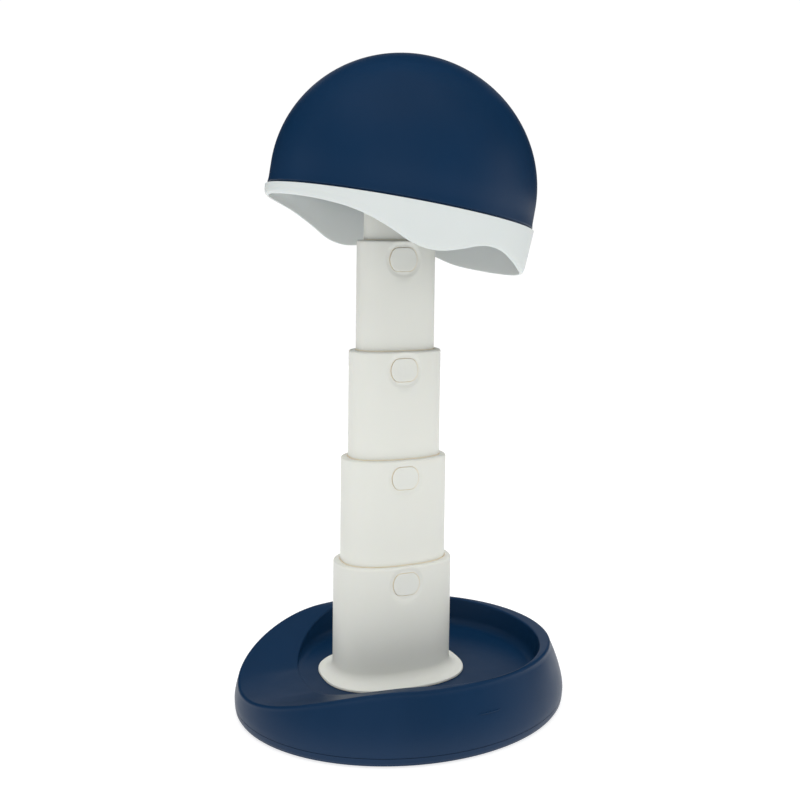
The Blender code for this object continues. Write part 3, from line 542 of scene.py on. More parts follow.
def tray_section(angle, opening):
    """Points across the tray's wall, from the parting line over the rim to the floor and back underneath."""
    crest = crest_height(angle)
    shoulder = crest - CREST_OUTER_ROUND
    points = []
    for t in steps(18):
        z = TRAY_PARTING + (shoulder - TRAY_PARTING) * t
        points.append(wall_point(angle, lean(z), z))
    for t in steps(8)[1:]:
        side = CREST_OUTER_ROUND * bend_away(t)
        rise = CREST_OUTER_ROUND * math.sin(QUARTER * t)
        points.append(wall_point(angle, lean(shoulder) + side, shoulder + rise))
    over = points[-1]
    depth = max(crest - TRAY_FLOOR, 0.0)
    top = TRAY_FLOOR + math.sqrt(depth**2 + CREST_FADE**2)
    bend = min(CREST_INNER_ROUND, CREST_BEND * (top - TRAY_FLOOR))
    inner = recess_point(angle, -CREST_INNER_ROUND, top)
    for t in steps(8)[1:]:
        point = over.lerp(inner, t)
        point.z = over.z + (inner.z - over.z) * smooth(t)
        points.append(point)
    for t in steps(6)[1:]:
        side = CREST_INNER_ROUND * bend_level(t)
        points.append(recess_point(angle, -side, top - bend * bend_away(t)))
    height = top - bend - TRAY_FLOOR
    fillet = min(RECESS_FILLET, FILLET_SHARE * height)
    slope = RECESS_DRAFT * (height - fillet)
    for t in steps(4)[1:]:
        points.append(recess_point(angle, slope * t, top - bend - (height - fillet) * t))
    for t in steps(9)[1:]:
        side = slope + RECESS_FILLET * bend_away(t)
        points.append(recess_point(angle, side, TRAY_FLOOR + fillet * bend_level(t)))
    start = points[-1]
    for t in steps(5)[1:]:
        points.append(start.lerp(opening, t))
    under = TRAY_FLOOR - TRAY_WALL
    hollow = max(crest - RIM_THICKNESS, under)
    points.append(Vector((opening.x, opening.y, under)))
    points.append(recess_point(angle, slope, under))
    points.append(recess_point(angle, -RIM_INNER_WALL, hollow))
    points.append(wall_point(angle, lean(hollow) + TRAY_WALL, hollow - GAP))
    points.append(wall_point(angle, lean(TRAY_PARTING) + TRAY_WALL, TRAY_PARTING))
    return points


def tray_top():
    length = BASE_TUBE_HALF_LENGTH + TUBE_DRAFT * TUBE_LENGTH + 2 * GAP
    width = BASE_TUBE_HALF_WIDTH + TUBE_DRAFT * TUBE_LENGTH + 2 * GAP
    opening = superellipse(length, width, TRAY_FLOOR, TUBE_SQUARENESS, COLUMN_X, AROUND_TRAY)
    sections = [tray_section(angle, spot) for angle, spot in zip(turns(AROUND_TRAY), opening)]
    bm = bmesh.new()
    add_rows(bm, [list(row) for row in zip(*sections)], wrap=True)
    add_mould_mark(bm)
    return to_object("tray_shell_fine", bm, 50)


def add_mould_mark(bm):
    """Low moulded dash on the outer wall, on the side of the buttons."""
    reach = MARK_LENGTH / 2
    rows = []
    for t in steps(24):
        along = -reach + MARK_LENGTH * t
        swell = math.sqrt(max(1 - (along / reach) ** 2, 0.0))
        row = []
        for turn in turns(8):
            z = MARK_HEIGHT + MARK_THICKNESS * (0.3 + 0.7 * swell) * math.sin(turn)
            out = MARK_RELIEF * (0.2 + 0.8 * swell) * math.cos(turn)
            angle = MARK_ANGLE + along / (TRAY_LENGTH / 2)
            row.append(wall_point(angle, lean(z) - out, z))
        rows.append(row)
    add_rows(bm, rows, caps=True)


def tray_bottom():
    top = TRAY_PARTING - GAP
    low = PAN_BOTTOM
    angles = turns(AROUND_TRAY)
    rows = [[wall_point(a, PAN_INSET, low) for a in angles]]
    for t in steps(8):
        side = PAN_EDGE * bend_level(t)
        rise = PAN_EDGE * bend_away(t)
        rows.append([wall_point(a, lean(low) + side, low + rise) for a in angles])
    for t in steps(6)[1:]:
        z = low + PAN_EDGE + (top - low - PAN_EDGE) * t
        rows.append([wall_point(a, lean(z), z) for a in angles])
    rows.append([wall_point(a, lean(top) + TRAY_WALL, top) for a in angles])
    rows.append([wall_point(a, lean(top) + TRAY_WALL + GAP, low + PAN_PLATE) for a in angles])
    bm = bmesh.new()
    add_rows(bm, rows, caps=True)
    pan = to_object("base_pan_fine", bm, 50)
    for n in range(1, 5):
        x, y = node_centre("pan_screw_%d" % n)
        cut(pan, turned("hole", [(SCREW_HOLE, -OVERCUT), (SCREW_HOLE, low + PAN_HOLE)], (x, y, 0)))
        cut(pan, turned("sink", [(SCREW_SINK, -OVERCUT), (SCREW_SINK, low + PAN_SINK)], (x, y, 0)))
    for n in range(1, 5):
        x, y = node_centre("foot_%d" % n)
        radius = FOOT_RADIUS + GAP
        cut(pan, turned("pocket", [(radius, -OVERCUT), (radius, low + FOOT_SINK)], (x, y, 0)))
    return pan


def node_centre(name):
    low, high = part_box(name)
    return (low[0] + high[0]) / 2, (low[1] + high[1]) / 2


def make_tray():
    place(tray_top(), "base", "tray_shell", NAVY)
    place(tray_bottom(), "base", "base_pan", NAVY)
    for n in range(1, 5):
        x, y = node_centre("foot_%d" % n)
        top = PAN_BOTTOM + FOOT_SINK - GAP
        edge = SMALL_EDGE
        profile = [(FOOT_RADIUS - 2 * edge, 0.0), (FOOT_RADIUS - edge, edge * 0.3)]
        profile += [(FOOT_RADIUS, edge), (FOOT_RADIUS, top)]
        place(turned("foot_%d_fine" % n, profile, (x, y, 0)), "base", "foot_%d" % n, RUBBER)


# ---------------------------------------------------------------- column
def tube_top(stage):
    return BASE_TUBE_TOP + stage * STAGE_RISE


def tube_sizes(stage, z, inset_length=0.0, inset_width=None):
    spread_out = TUBE_DRAFT * (tube_top(stage) - z)
    a = BASE_TUBE_HALF_LENGTH - stage * STAGE_STEP_LENGTH + spread_out - inset_length
    b = BASE_TUBE_HALF_WIDTH - stage * STAGE_STEP_WIDTH + spread_out
    return a, b - (inset_length if inset_width is None else inset_width)


def tube_row(stage, z, inset_length=0.0, inset_width=None):
    a, b = tube_sizes(stage, z, inset_length, inset_width)
    return superellipse(a, b, z, TUBE_SQUARENESS, COLUMN_X, AROUND_TUBE)


def front_face(stage, x, z, inset):
    """y of a tube's front wall."""
    a, b = tube_sizes(stage, z, inset)
    reach = min(abs(x - COLUMN_X) / a, 1.0)
    return -b * (1 - reach**TUBE_SQUARENESS) ** (1 / TUBE_SQUARENESS)


def dish(stage, x, z):
    """Depth of the shallow thumb dish round a button."""
    centre_z = tube_top(stage) - BUTTON_DROP
    radius = math.hypot(x - COLUMN_X, z - centre_z)
    return DISH_DEPTH * (1 - smooth((radius - DISH_INNER) / (DISH_OUTER - DISH_INNER)))


def button_reach(angle, grow=0.0):
    """Distance from a button's centre to its outline: a circle with softened flats above and below."""
    radius = BUTTON_RADIUS + grow
    flat = (BUTTON_HALF_HEIGHT + grow) / max(abs(math.sin(angle)), 1e-4)
    sharpness = 16
    return (radius**-sharpness + flat**-sharpness) ** (-1 / sharpness)


def hole_patch(bm, grid, rows, columns, stage, inset, dished, angles=None, rings=12):
    """Replace part of a wall's grid by rings that close in on the button hole. Returns the innermost ring."""
    r0, r1 = rows
    c0, c1 = columns
    border = [(r0, c) for c in range(c0, c1)] + [(r, c1) for r in range(r0, r1)]
    border += [(r1, c) for c in range(c1, c0, -1)] + [(r, c0) for r in range(r1, r0, -1)]
    start = [grid[key] for key in border]
    centre_z = tube_top(stage) - BUTTON_DROP
    if angles is None:
        angles = [math.atan2(v.co.z - centre_z, v.co.x - COLUMN_X) for v in start]
    edge = HOLE_EDGE if dished else 0.0
    previous = start
    for ring in range(1, rings + 1):
        t = ring / rings
        current = []
        for vert, angle in zip(start, angles):
            reach = button_reach(angle, BUTTON_SLIT + edge)
            x = vert.co.x + (COLUMN_X + reach * math.cos(angle) - vert.co.x) * t
            z = vert.co.z + (centre_z + reach * math.sin(angle) - vert.co.z) * t
            y = front_face(stage, x, z, inset) + (dish(stage, x, z) if dished else 0.0)
            current.append(bm.verts.new((x, y, z)))
        bridge(bm, previous, current)
        previous = current
    if dished:
        for turn in (30, 60, 90):
            side = edge * (1 - math.sin(math.radians(turn)))
            deep = edge * (1 - math.cos(math.radians(turn)))
            current = []
            for angle in angles:
                reach = button_reach(angle, BUTTON_SLIT + side)
                x = COLUMN_X + reach * math.cos(angle)
                z = centre_z + reach * math.sin(angle)
                y = front_face(stage, x, z, inset) + dish(stage, x, z) + deep
                current.append(bm.verts.new((x, y, z)))
            bridge(bm, previous, current)
            previous = current
    return previous, angles


def tube_grid(bm, rows, skip):
    """Verts and quads of a closed stack of rows, without the blocks in skip. Returns verts by cell."""
    grid = {}
    inside = {(r, c) for (r0, r1), (c0, c1) in skip for r in range(r0 + 1, r1) for c in range(c0 + 1, c1)}
    cells = {(r, c) for (r0, r1), (c0, c1) in skip for r in range(r0, r1) for c in range(c0, c1)}
    count = len(rows[0])
    for r, row in enumerate(rows):
        for c, point in enumerate(row):
            if (r, c) not in inside:
                grid[r, c] = bm.verts.new(point)
    for r in range(len(rows)):
        s = (r + 1) % len(rows)
        for c in range(count):
            if (r, c) not in cells:
                d = (c + 1) % count
                bm.faces.new((grid[r, c], grid[r, d], grid[s, d], grid[s, c]))
    return grid


def patch_columns(row):
    """Columns either side of the front's middle that just clear the dish."""
    middle = 3 * AROUND_TUBE // 4
    reach = 1
    while row[middle + reach].x - COLUMN_X < DISH_OUTER + PATCH_MARGIN:
        reach += 1
    return middle - reach, middle + reach


def tube(stage, foot_rows, bottom):
    """A tube's wall with a rounded mouth and, on all but the neck, a dished button hole."""
    top = tube_top(stage)
    has_button = stage < NECK
    rim = RIM_ROUND if has_button else NECK_ROUND
    centre = top - BUTTON_DROP
    low = centre - PATCH_BELOW
    high = centre + PATCH_ABOVE
    start = foot_rows[-1][0].z if foot_rows else bottom
    heights = [start + (low - start) * t for t in steps(16)]
    if foot_rows:
        heights = heights[1:]
    first = len(foot_rows) + len(heights) - 1
    heights += [low + (high - low) * t for t in steps(20)[1:]]
    last = len(foot_rows) + len(heights) - 1
    heights += [high + (top - rim - high) * t for t in steps(2)[1:]]
    rows = list(foot_rows) + [tube_row(stage, z) for z in heights]
    for t in steps(8)[1:]:
        side = rim * bend_away(t)
        rows.append(tube_row(stage, top - rim + rim * math.sin(QUARTER * t), side))
    if has_button:
        middle = 3 * AROUND_TUBE // 4
        for row in rows[len(foot_rows):]:
            for c in range(middle - AROUND_TUBE // 5, middle + AROUND_TUBE // 5):
                row[c].y += dish(stage, row[c].x, row[c].z)
    lip_length = LIP_LENGTH_IN if has_button else TUBE_WALL
    lip_width = LIP_WIDTH_IN if has_button else TUBE_WALL
    lip_round = LIP_ROUND if has_button else SMALL_EDGE
    for t in steps(5):
        side = lip_round * bend_level(t)
        drop = lip_round * bend_away(t)
        rows.append(tube_row(stage, top - drop, lip_length - side, lip_width - side))
    if has_button:
        rows.append(tube_row(stage, top - LIP_HEIGHT, lip_length, lip_width))
    inner_high = len(rows)
    inner = [high - (high - low) * t for t in steps(20)]
    rows += [tube_row(stage, z, TUBE_WALL) for z in inner]
    inner_low = len(rows) - 1
    rows.append(tube_row(stage, bottom, TUBE_WALL))
    bm = bmesh.new()
    if has_button:
        columns = patch_columns(rows[first])
        grid = tube_grid(bm, rows, [((first, last), columns), ((inner_high, inner_low), columns)])
        outside, angles = hole_patch(bm, grid, (first, last), columns, stage, 0.0, True)
        mirrored = {}
        for r in range(first, last + 1):
            for c in range(columns[0], columns[1] + 1):
                key = (inner_low - (r - first), c)
                if key in grid:
                    mirrored[r, c] = grid[key]
        inside, _ = hole_patch(bm, mirrored, (first, last), columns, stage, TUBE_WALL, False, angles, 4)
        bridge(bm, outside, inside)
    else:
        tube_grid(bm, rows, [])
    obj = to_object(STAGES[stage] + "_tube_fine", bm, 42)
    if stage > 0:
        z = tube_top(stage - 1) - BUTTON_DROP
        front = front_face(stage, COLUMN_X, z, 0.0)
        low_corner = (COLUMN_X - WINDOW_HALF_LENGTH, front - WINDOW_OUTSIDE, z - WINDOW_HALF_HEIGHT)
        high_corner = (COLUMN_X + WINDOW_HALF_LENGTH, front + WINDOW_INSIDE, z + WINDOW_HALF_HEIGHT)
        cut(obj, box("window", low_corner, high_corner))
    if not has_button:
        z = top - PLUG_SCREW_DROP
        reach = tube_sizes(stage, z)[0]
        for side in (1, -1):
            x0 = COLUMN_X + side * (reach + OVERCUT)
            cut(obj, shank_hole((x0, 0, z), TUBE_WALL + 2 * OVERCUT, -side, SCREW_SINK))
    return obj


def base_tube_foot():
    """Loops under the base tube: inside the tray, then out over the flange and up its fillet."""
    bottom = PAN_BOTTOM + PAN_PLATE + GAP
    under = TRAY_FLOOR + GAP
    start = FLANGE_TOP + FLANGE_FILLET
    rows = [tube_row(0, bottom), tube_row(0, under)]
    a, b = FLANGE_HALF_LENGTH, FLANGE_HALF_WIDTH
    rows.append(superellipse(a, b, under, TUBE_SQUARENESS, COLUMN_X, AROUND_TUBE))
    for t in steps(5):
        side = FLANGE_EDGE * bend_away(t)
        z = FLANGE_TOP - FLANGE_EDGE + FLANGE_EDGE * math.sin(QUARTER * t)
        rows.append(superellipse(a - side, b - side, z, TUBE_SQUARENESS, COLUMN_X, AROUND_TUBE))
    inner_a, inner_b = tube_sizes(0, start)
    for t in steps(10):
        out = FLANGE_FILLET * bend_level(t)
        z = FLANGE_TOP + FLANGE_FILLET * bend_away(t)
        rows.append(superellipse(inner_a + out, inner_b + out, z, TUBE_SQUARENESS, COLUMN_X, AROUND_TUBE))
    return rows


def button_cap(stage):
    """The button's plate, rounded at its edge and slightly hollow in the middle."""
    centre_z = tube_top(stage) - BUTTON_DROP
    front = front_face(stage, COLUMN_X, centre_z, 0.0)
    levels = [(BUTTON_PLATE_BACK, 0.0)]
    for t in steps(6):
        side = BUTTON_EDGE * bend_away(t)
        deep = BUTTON_FACE + BUTTON_EDGE * bend_level(t)
        levels.append((deep, -side))
    rows = []
    for deep, grow in levels:
        row = []
        for angle in turns(AROUND_BUTTON):
            reach = button_reach(angle, grow)
            x = COLUMN_X + reach * math.cos(angle)
            row.append(Vector((x, front + deep, centre_z + reach * math.sin(angle))))
        rows.append(row)
    face = rows[-1]
    middle = Vector((COLUMN_X, front + BUTTON_FACE, centre_z))
    for t in (0.85, 0.65, 0.4, 0.15):
        hollow = BUTTON_HOLLOW * (1 - t**2)
        rows.append([middle.lerp(p, t) + Vector((0, hollow, 0)) for p in face])
    bm = bmesh.new()
    add_rows(bm, rows, caps=True)
    return to_object(STAGES[stage] + "_button_fine", bm, 50)


def button_legs(stage, body):
    """Two legs behind the plate, each with an ear that catches behind the tube's wall."""
    centre_z = tube_top(stage) - BUTTON_DROP
    front = front_face(stage, COLUMN_X, centre_z, 0.0)
    legs = []
    for side in (1, -1):
        for outer, near in ((LEG_OUTER, LEG_TOP), (EAR_OUTER, EAR_TOP)):
            x0, x1 = sorted((COLUMN_X + side * LEG_INNER, COLUMN_X + side * outer))
            low = (x0, front + near, centre_z - LEG_HALF_HEIGHT)
            legs.append((low, (x1, front + LEG_BOTTOM, centre_z + LEG_HALF_HEIGHT)))
    for low, high in legs:
        cut(body, box("leg", low, high), "UNION")


def make_column():
    bottom = PAN_BOTTOM + PAN_PLATE + GAP
    foot = base_tube_foot()
    place(tube(0, foot, bottom), "base", "base_tube", IVORY)
    for stage in range(1, NECK + 1):
        word = STAGES[stage]
        body = word + "_section"
        place(tube(stage, [], tube_top(stage) - TUBE_LENGTH), body, word + "_tube", IVORY)
    for stage in range(NECK):
        word = STAGES[stage]
        cap = button_cap(stage)
        button_legs(stage, cap)
        place(cap, word + "_release", word + "_button", IVORY)


# ---------------------------------------------------------------- head
def skirt_depth(degrees):
    """Smooth curve through the skirt's outline."""
    points = SKIRT_OUTLINE
    count = len(points)
    for k in range(count - 1):
        (x0, y0), (x1, y1) = points[k], points[k + 1]
        if degrees <= x1 or k == count - 2:
            before = points[k - 1] if k else (-points[1][0], points[1][1])
            after = points[k + 2] if k + 2 < count else (360 - points[-2][0], points[-2][1])
            slope0 = (y1 - before[1]) / (x1 - before[0])
            slope1 = (after[1] - y0) / (after[0] - x0)
            span = x1 - x0
            t = (degrees - x0) / span
            return (
                y0 * (1 + 2 * t) * (1 - t) ** 2
                + slope0 * span * t * (1 - t) ** 2
                + y1 * t * t * (3 - 2 * t)
                + slope1 * span * t * t * (t - 1)
            )
    return points[-1][1]


def head_point(angle, inset, z):
    x = (DOME_HALF_LENGTH - inset) * math.cos(angle) - PIVOT_BEHIND
    y = (DOME_HALF_WIDTH - inset) * math.sin(angle)
    return Vector((x, y, z - PIVOT_ABOVE_SEAM))


def dome_row(turn, inset):
    rise = DOME_BAND + (DOME_CAP - inset) * math.sin(turn)
    row = []
    for angle in turns(AROUND_HEAD):
        x = (DOME_HALF_LENGTH - inset) * math.cos(turn) * math.cos(angle) - PIVOT_BEHIND
        y = (DOME_HALF_WIDTH - inset) * math.cos(turn) * math.sin(angle)
        row.append(Vector((x, y, rise - PIVOT_ABOVE_SEAM)))
    return row


def dome():
    """The head's upper shell, with the four screw bosses inside its crown."""
    angles = turns(AROUND_HEAD)
    pole = math.radians(89.2)  # just short of the top, which is closed by a small flat cap
    rows = [dome_row(pole * (1 - t), DOME_WALL) for t in steps(40)]
    high = SEAM_GROOVE_HEIGHT
    profile = [(DOME_WALL, 0.0), (SEAM_GROOVE_DEPTH, 0.0), (SEAM_GROOVE_DEPTH, high)]
    profile += [(0.0, high + SEAM_BEVEL), (-SEAM_LIP, high + SEAM_LIP_LOW), (-SEAM_LIP, high + SEAM_LIP_HIGH)]
    profile += [(0.0, SEAM_FADE), (0.0, DOME_STRAIGHT)]
    rows += [[head_point(a, inset, z) for a in angles] for inset, z in profile]
    rows += [dome_row(pole * t, 0.0) for t in steps(64)]
    bm = bmesh.new()
    add_rows(bm, rows, caps=True)
    for x, y in four(MOUNT_SCREW_X, MOUNT_SCREW_Y):
        add_boss(bm, x, y)
    return to_object("dome_shell_fine", bm, 45)


def add_boss(bm, x, y):
    reach_x = (x + PIVOT_BEHIND) / (DOME_HALF_LENGTH - DOME_WALL)
    reach_y = y / (DOME_HALF_WIDTH - DOME_WALL)
    crown = DOME_BAND + (DOME_CAP - DOME_WALL) * math.sqrt(1 - reach_x**2 - reach_y**2)
    top = crown - PIVOT_ABOVE_SEAM
    bottom = MOUNT_RISE + MOUNT_PLATE + GAP
    outer = MOUNT_BOSS_RADIUS
    profile = [(SCREW_HOLE, bottom + BOSS_HOLE_DEPTH), (SCREW_HOLE, bottom), (outer - BOSS_BEVEL, bottom)]
    profile += [(outer, bottom + BOSS_BEVEL), (outer, top), (SCREW_HOLE, top)]
    add_rows(bm, turned_rows(profile, (x, y, 0)), wrap=True)


def skirt():
    """White skirt: proud ledge under the seam, brow, ear arches and nape, rounded lower edge."""
    angles = turns(AROUND_HEAD)
    depth = [skirt_depth(math.degrees(abs(math.pi - a))) for a in angles]
    sections = []
    for angle, deep in zip(angles, depth):
        points = []
        for t in steps(8):
            side = HEM_SIDE * bend_level(t)
            lift = HEM_LIFT * bend_away(t)
            points.append(head_point(angle, SKIRT_TAPER * deep - SKIRT_PROUD + side, lift - deep))
        for t in steps(10)[1:]:
            z = (HEM_LIFT - deep) * (1 - t) - SKIRT_LEDGE * t
            points.append(head_point(angle, SKIRT_TAPER * -z - SKIRT_PROUD, z))
        for t in steps(5)[1:]:
            side = SKIRT_LEDGE * bend_away(t)
            lift = SKIRT_LEDGE * math.sin(QUARTER * t)
            points.append(head_point(angle, side - SKIRT_PROUD, lift - SKIRT_LEDGE - GAP * t))
        spigot = DOME_WALL + GAP
        points.append(head_point(angle, SKIRT_SHOULDER, -GAP))
        points.append(head_point(angle, spigot, -GAP))
        points.append(head_point(angle, spigot, SPIGOT_HEIGHT - SPIGOT_BEVEL))
        points.append(head_point(angle, spigot + SPIGOT_BEVEL, SPIGOT_HEIGHT))
        points.append(head_point(angle, spigot + SPIGOT_WALL - SPIGOT_BEVEL, SPIGOT_HEIGHT))
        inner = SKIRT_WALL - SKIRT_PROUD
        inner_top = SPIGOT_HEIGHT - SKIRT_SHOULDER
        high_inset = spigot + SPIGOT_WALL
        low_inset = SKIRT_TAPER * deep + inner
        for t in steps(8):
            z = inner_top + (HEM_INNER - deep - inner_top) * t
            points.append(head_point(angle, high_inset + (low_inset - high_inset) * smooth(t), z))
        for t in steps(6)[1:]:
            side = HEM_INNER * bend_away(t)
            drop = HEM_INNER * math.sin(QUARTER * t)
            points.append(head_point(angle, SKIRT_TAPER * deep + inner - side, HEM_INNER - deep - drop))
        sections.append(points)
    bm = bmesh.new()
    add_rows(bm, [list(row) for row in zip(*sections)], wrap=True)
    return to_object("skirt_rim_fine", bm, 45)


def make_head():
    for obj, node, material in ((dome(), "dome_shell", NAVY), (skirt(), "skirt_rim", WHITE)):
        obj.data.transform(HEAD_FRAME)
        place(obj, "head", node, material)


# ---------------------------------------------------------------- fasteners and the tilt joint
ALONG_X = Matrix.Rotation(QUARTER, 3, "Y")
ALONG_Y = Matrix.Rotation(-QUARTER, 3, "X")


def shank_hole(start, length, side, radius=SCREW_HOLE):
    """Cutting body for a screw that lies along X."""
    profile = [(radius, 0.0), (radius, side * length)]
    return turned("hole", profile, start, ALONG_X)


def screw(node, body, start, length, turn=None, frame_matrix=None):
    """Pan-head screw with a cross recess, along +Z unless turned."""
    r, h = SCREW_HEAD_RADIUS, SCREW_HEAD_HEIGHT
    profile = [(r * 0.45, 0.0), (r * 0.68, SCREW_BEVEL / 2)]
    for t in steps(5):
        rise = 0.45 * h * bend_away(t)
        profile.append((r * (0.80 + 0.20 * math.sin(QUARTER * t)), SCREW_BEVEL + rise))
    profile += [(r, h - SCREW_BEVEL), (r - SCREW_BEVEL, h), (SCREW_RADIUS, h)]
    profile += [(SCREW_RADIUS, h + length - SCREW_POINT), (SCREW_RADIUS * 0.4, h + length)]
    obj = turned(node + "_fine", profile, (0, 0, 0), count=36, sharp=35)
    for x, y in ((RECESS_SLOT / 2, RECESS_REACH), (RECESS_REACH, RECESS_SLOT / 2)):
        cut(obj, box("slot", (-x, -y, -OVERCUT), (x, y, RECESS_DEPTH)))
    obj.data.shade_smooth()
    obj.data.set_sharp_from_angle(angle=math.radians(35))
    matrix = Matrix.Translation(start) @ (turn or Matrix.Identity(3)).to_4x4()
    obj.data.transform(frame_matrix @ matrix if frame_matrix else matrix)
    place(obj, body, node, STEEL)


def make_screws():
    for n in range(1, 5):
        node = "pan_screw_%d" % n
        x, y = node_centre(node)
        screw(node, "base", (x, y, PAN_BOTTOM + PAN_SINK - GAP - SCREW_HEAD_HEIGHT), PAN_SCREW_LENGTH)
        node = "flange_screw_%d" % n
        x, y = node_centre(node)
        screw(node, "base", (x, y, TRAY_FLOOR - TRAY_WALL - GAP - SCREW_HEAD_HEIGHT), FLANGE_SCREW_LENGTH)
    z = tube_top(NECK) - PLUG_SCREW_DROP
    reach = tube_sizes(NECK, z)[0] - PLUG_SCREW_SINK
    for side, word in ((1, "back"), (-1, "front")):
        turn = Matrix.Rotation(-side * QUARTER, 3, "Y")
        start = (COLUMN_X + side * reach, 0, z)
        screw("knuckle_screw_" + word, "neck_section", start, PLUG_SCREW_LENGTH, turn)
    for n, (x, y) in enumerate(four(MOUNT_SCREW_X, MOUNT_SCREW_Y), 1):
        start = (x, y, MOUNT_RISE - GAP - SCREW_HEAD_HEIGHT)
        screw("crown_screw_%d" % n, "head", start, CROWN_SCREW_LENGTH, frame_matrix=HEAD_FRAME)


def slab(name, outline, near, far):
    """An outline in the XZ plane pushed along Y, with rounded edges."""
    count = len(outline)
    normals = []
    for i in range(count):
        before, after = outline[i - 1], outline[(i + 1) % count]
        along = (after[0] - before[0], after[1] - before[1])
        size = math.hypot(*along)
        normals.append((along[1] / size, -along[0] / size))
    levels = []
    for t in steps(4):
        bend = SMALL_EDGE * bend_level(t)
        levels.append((bend, near + SMALL_EDGE * bend_away(t)))
    for t in steps(4):
        bend = SMALL_EDGE * bend_away(t)
        levels.append((bend, far - SMALL_EDGE * bend_level(t)))
    rows = []
    for bend, y in levels:
        rows.append([Vector((x - nx * bend, y, z - nz * bend)) for (x, z), (nx, nz) in zip(outline, normals)])
    bm = bmesh.new()
    add_rows(bm, rows, caps=True)
    return to_object(name, bm)


def arch(start_turn, foot, foot_z):
    """A half circle round the pivot closed off at a foot, anticlockwise seen with X right and Z up."""
    outline = []
    for step in range(25):
        angle = start_turn + math.pi * step / 24
        outline.append((KNUCKLE_RADIUS * math.cos(angle), KNUCKLE_RADIUS * math.sin(angle)))
    side = 1 if start_turn else -1
    outline += [(side * foot, foot_z), (-side * foot, foot_z)]
    return outline


def pin_bore():
    reach = KNUCKLE_HALF_WIDTH + WASHER_THICKNESS + CHEEK_THICKNESS + NUT_HEIGHT + 2 * OVERCUT
    return turned("bore", [(PIN_RADIUS + GAP, -reach), (PIN_RADIUS + GAP, reach)], (0, 0, 0), ALONG_Y)


def knuckle():
    """Plug in the neck tube's mouth with the pivot ear standing on it, made about the pivot."""
    top = tube_top(NECK)
    loops = [
        (top - PLUG_DEPTH, TUBE_WALL + GAP + PLUG_LEAD / 2),
        (top - PLUG_DEPTH + PLUG_LEAD, TUBE_WALL + GAP),
        (top + GAP, TUBE_WALL + GAP),
        (top + GAP, NECK_ROUND),
        (top + KNUCKLE_PLATE - SMALL_EDGE, NECK_ROUND),
        (top + KNUCKLE_PLATE - SMALL_EDGE * 0.3, NECK_ROUND + SMALL_EDGE * 0.3),
        (top + KNUCKLE_PLATE, NECK_ROUND + SMALL_EDGE),
    ]
    to_pivot = Matrix.Translation((-COLUMN_X, 0, -PIVOT_Z))
    bm = bmesh.new()
    add_rows(bm, [[to_pivot @ p for p in tube_row(NECK, z, inset)] for z, inset in loops], caps=True)
    body = to_object("neck_knuckle_fine", bm)
    foot_z = top + KNUCKLE_PLATE / 2 - PIVOT_Z
    ear = slab("ear", arch(0.0, KNUCKLE_FOOT, foot_z), -KNUCKLE_HALF_WIDTH, KNUCKLE_HALF_WIDTH)
    cut(body, ear, "UNION")
    cut(body, pin_bore())
    for side in (1, -1):
        start = (side * PLUG_SCREW_X, 0, top - PLUG_SCREW_DROP - PIVOT_Z)
        cut(body, shank_hole(start, PLUG_SCREW_LENGTH + OVERCUT, side))
        seat = tube_sizes(NECK, top - PLUG_SCREW_DROP)[0] - PLUG_SCREW_SINK - SCREW_HEAD_HEIGHT - GAP
        start = (side * seat, 0, top - PLUG_SCREW_DROP - PIVOT_Z)
        cut(body, shank_hole(start, 2 * OVERCUT, side, SCREW_SINK))
    body.data.transform(to_pivot.inverted())
    return body


def mount():
    """Plate screwed under the crown, with two cheeks that straddle the knuckle."""
    low = MOUNT_RISE
    high = MOUNT_RISE + MOUNT_PLATE
    edge = SMALL_EDGE
    loops = [(low, edge), (low + edge * 0.3, edge * 0.3), (low + edge, 0.0)]
    loops += [(high - edge, 0.0), (high - edge * 0.3, edge * 0.3), (high, edge)]
    rows = []
    for z, inset in loops:
        rows.append(
            superellipse(MOUNT_HALF_LENGTH - inset, MOUNT_HALF_WIDTH - inset, z, TUBE_SQUARENESS, count=96)
        )
    bm = bmesh.new()
    add_rows(bm, rows, caps=True)
    body = to_object("head_mount_fine", bm)
    inner = KNUCKLE_HALF_WIDTH + WASHER_THICKNESS + 2 * GAP
    for side in (1, -1):
        near, far = sorted((side * inner, side * (inner + CHEEK_THICKNESS)))
        outline = arch(math.pi, CHEEK_FOOT, low + MOUNT_PLATE / 2)
        cut(body, slab("cheek", outline, near, far), "UNION")
    cut(body, pin_bore())
    for x, y in four(MOUNT_SCREW_X, MOUNT_SCREW_Y):
        profile = [(SCREW_HOLE, low - OVERCUT), (SCREW_HOLE, high + OVERCUT)]
        cut(body, turned("hole", profile, (x, y, 0)))
    return body


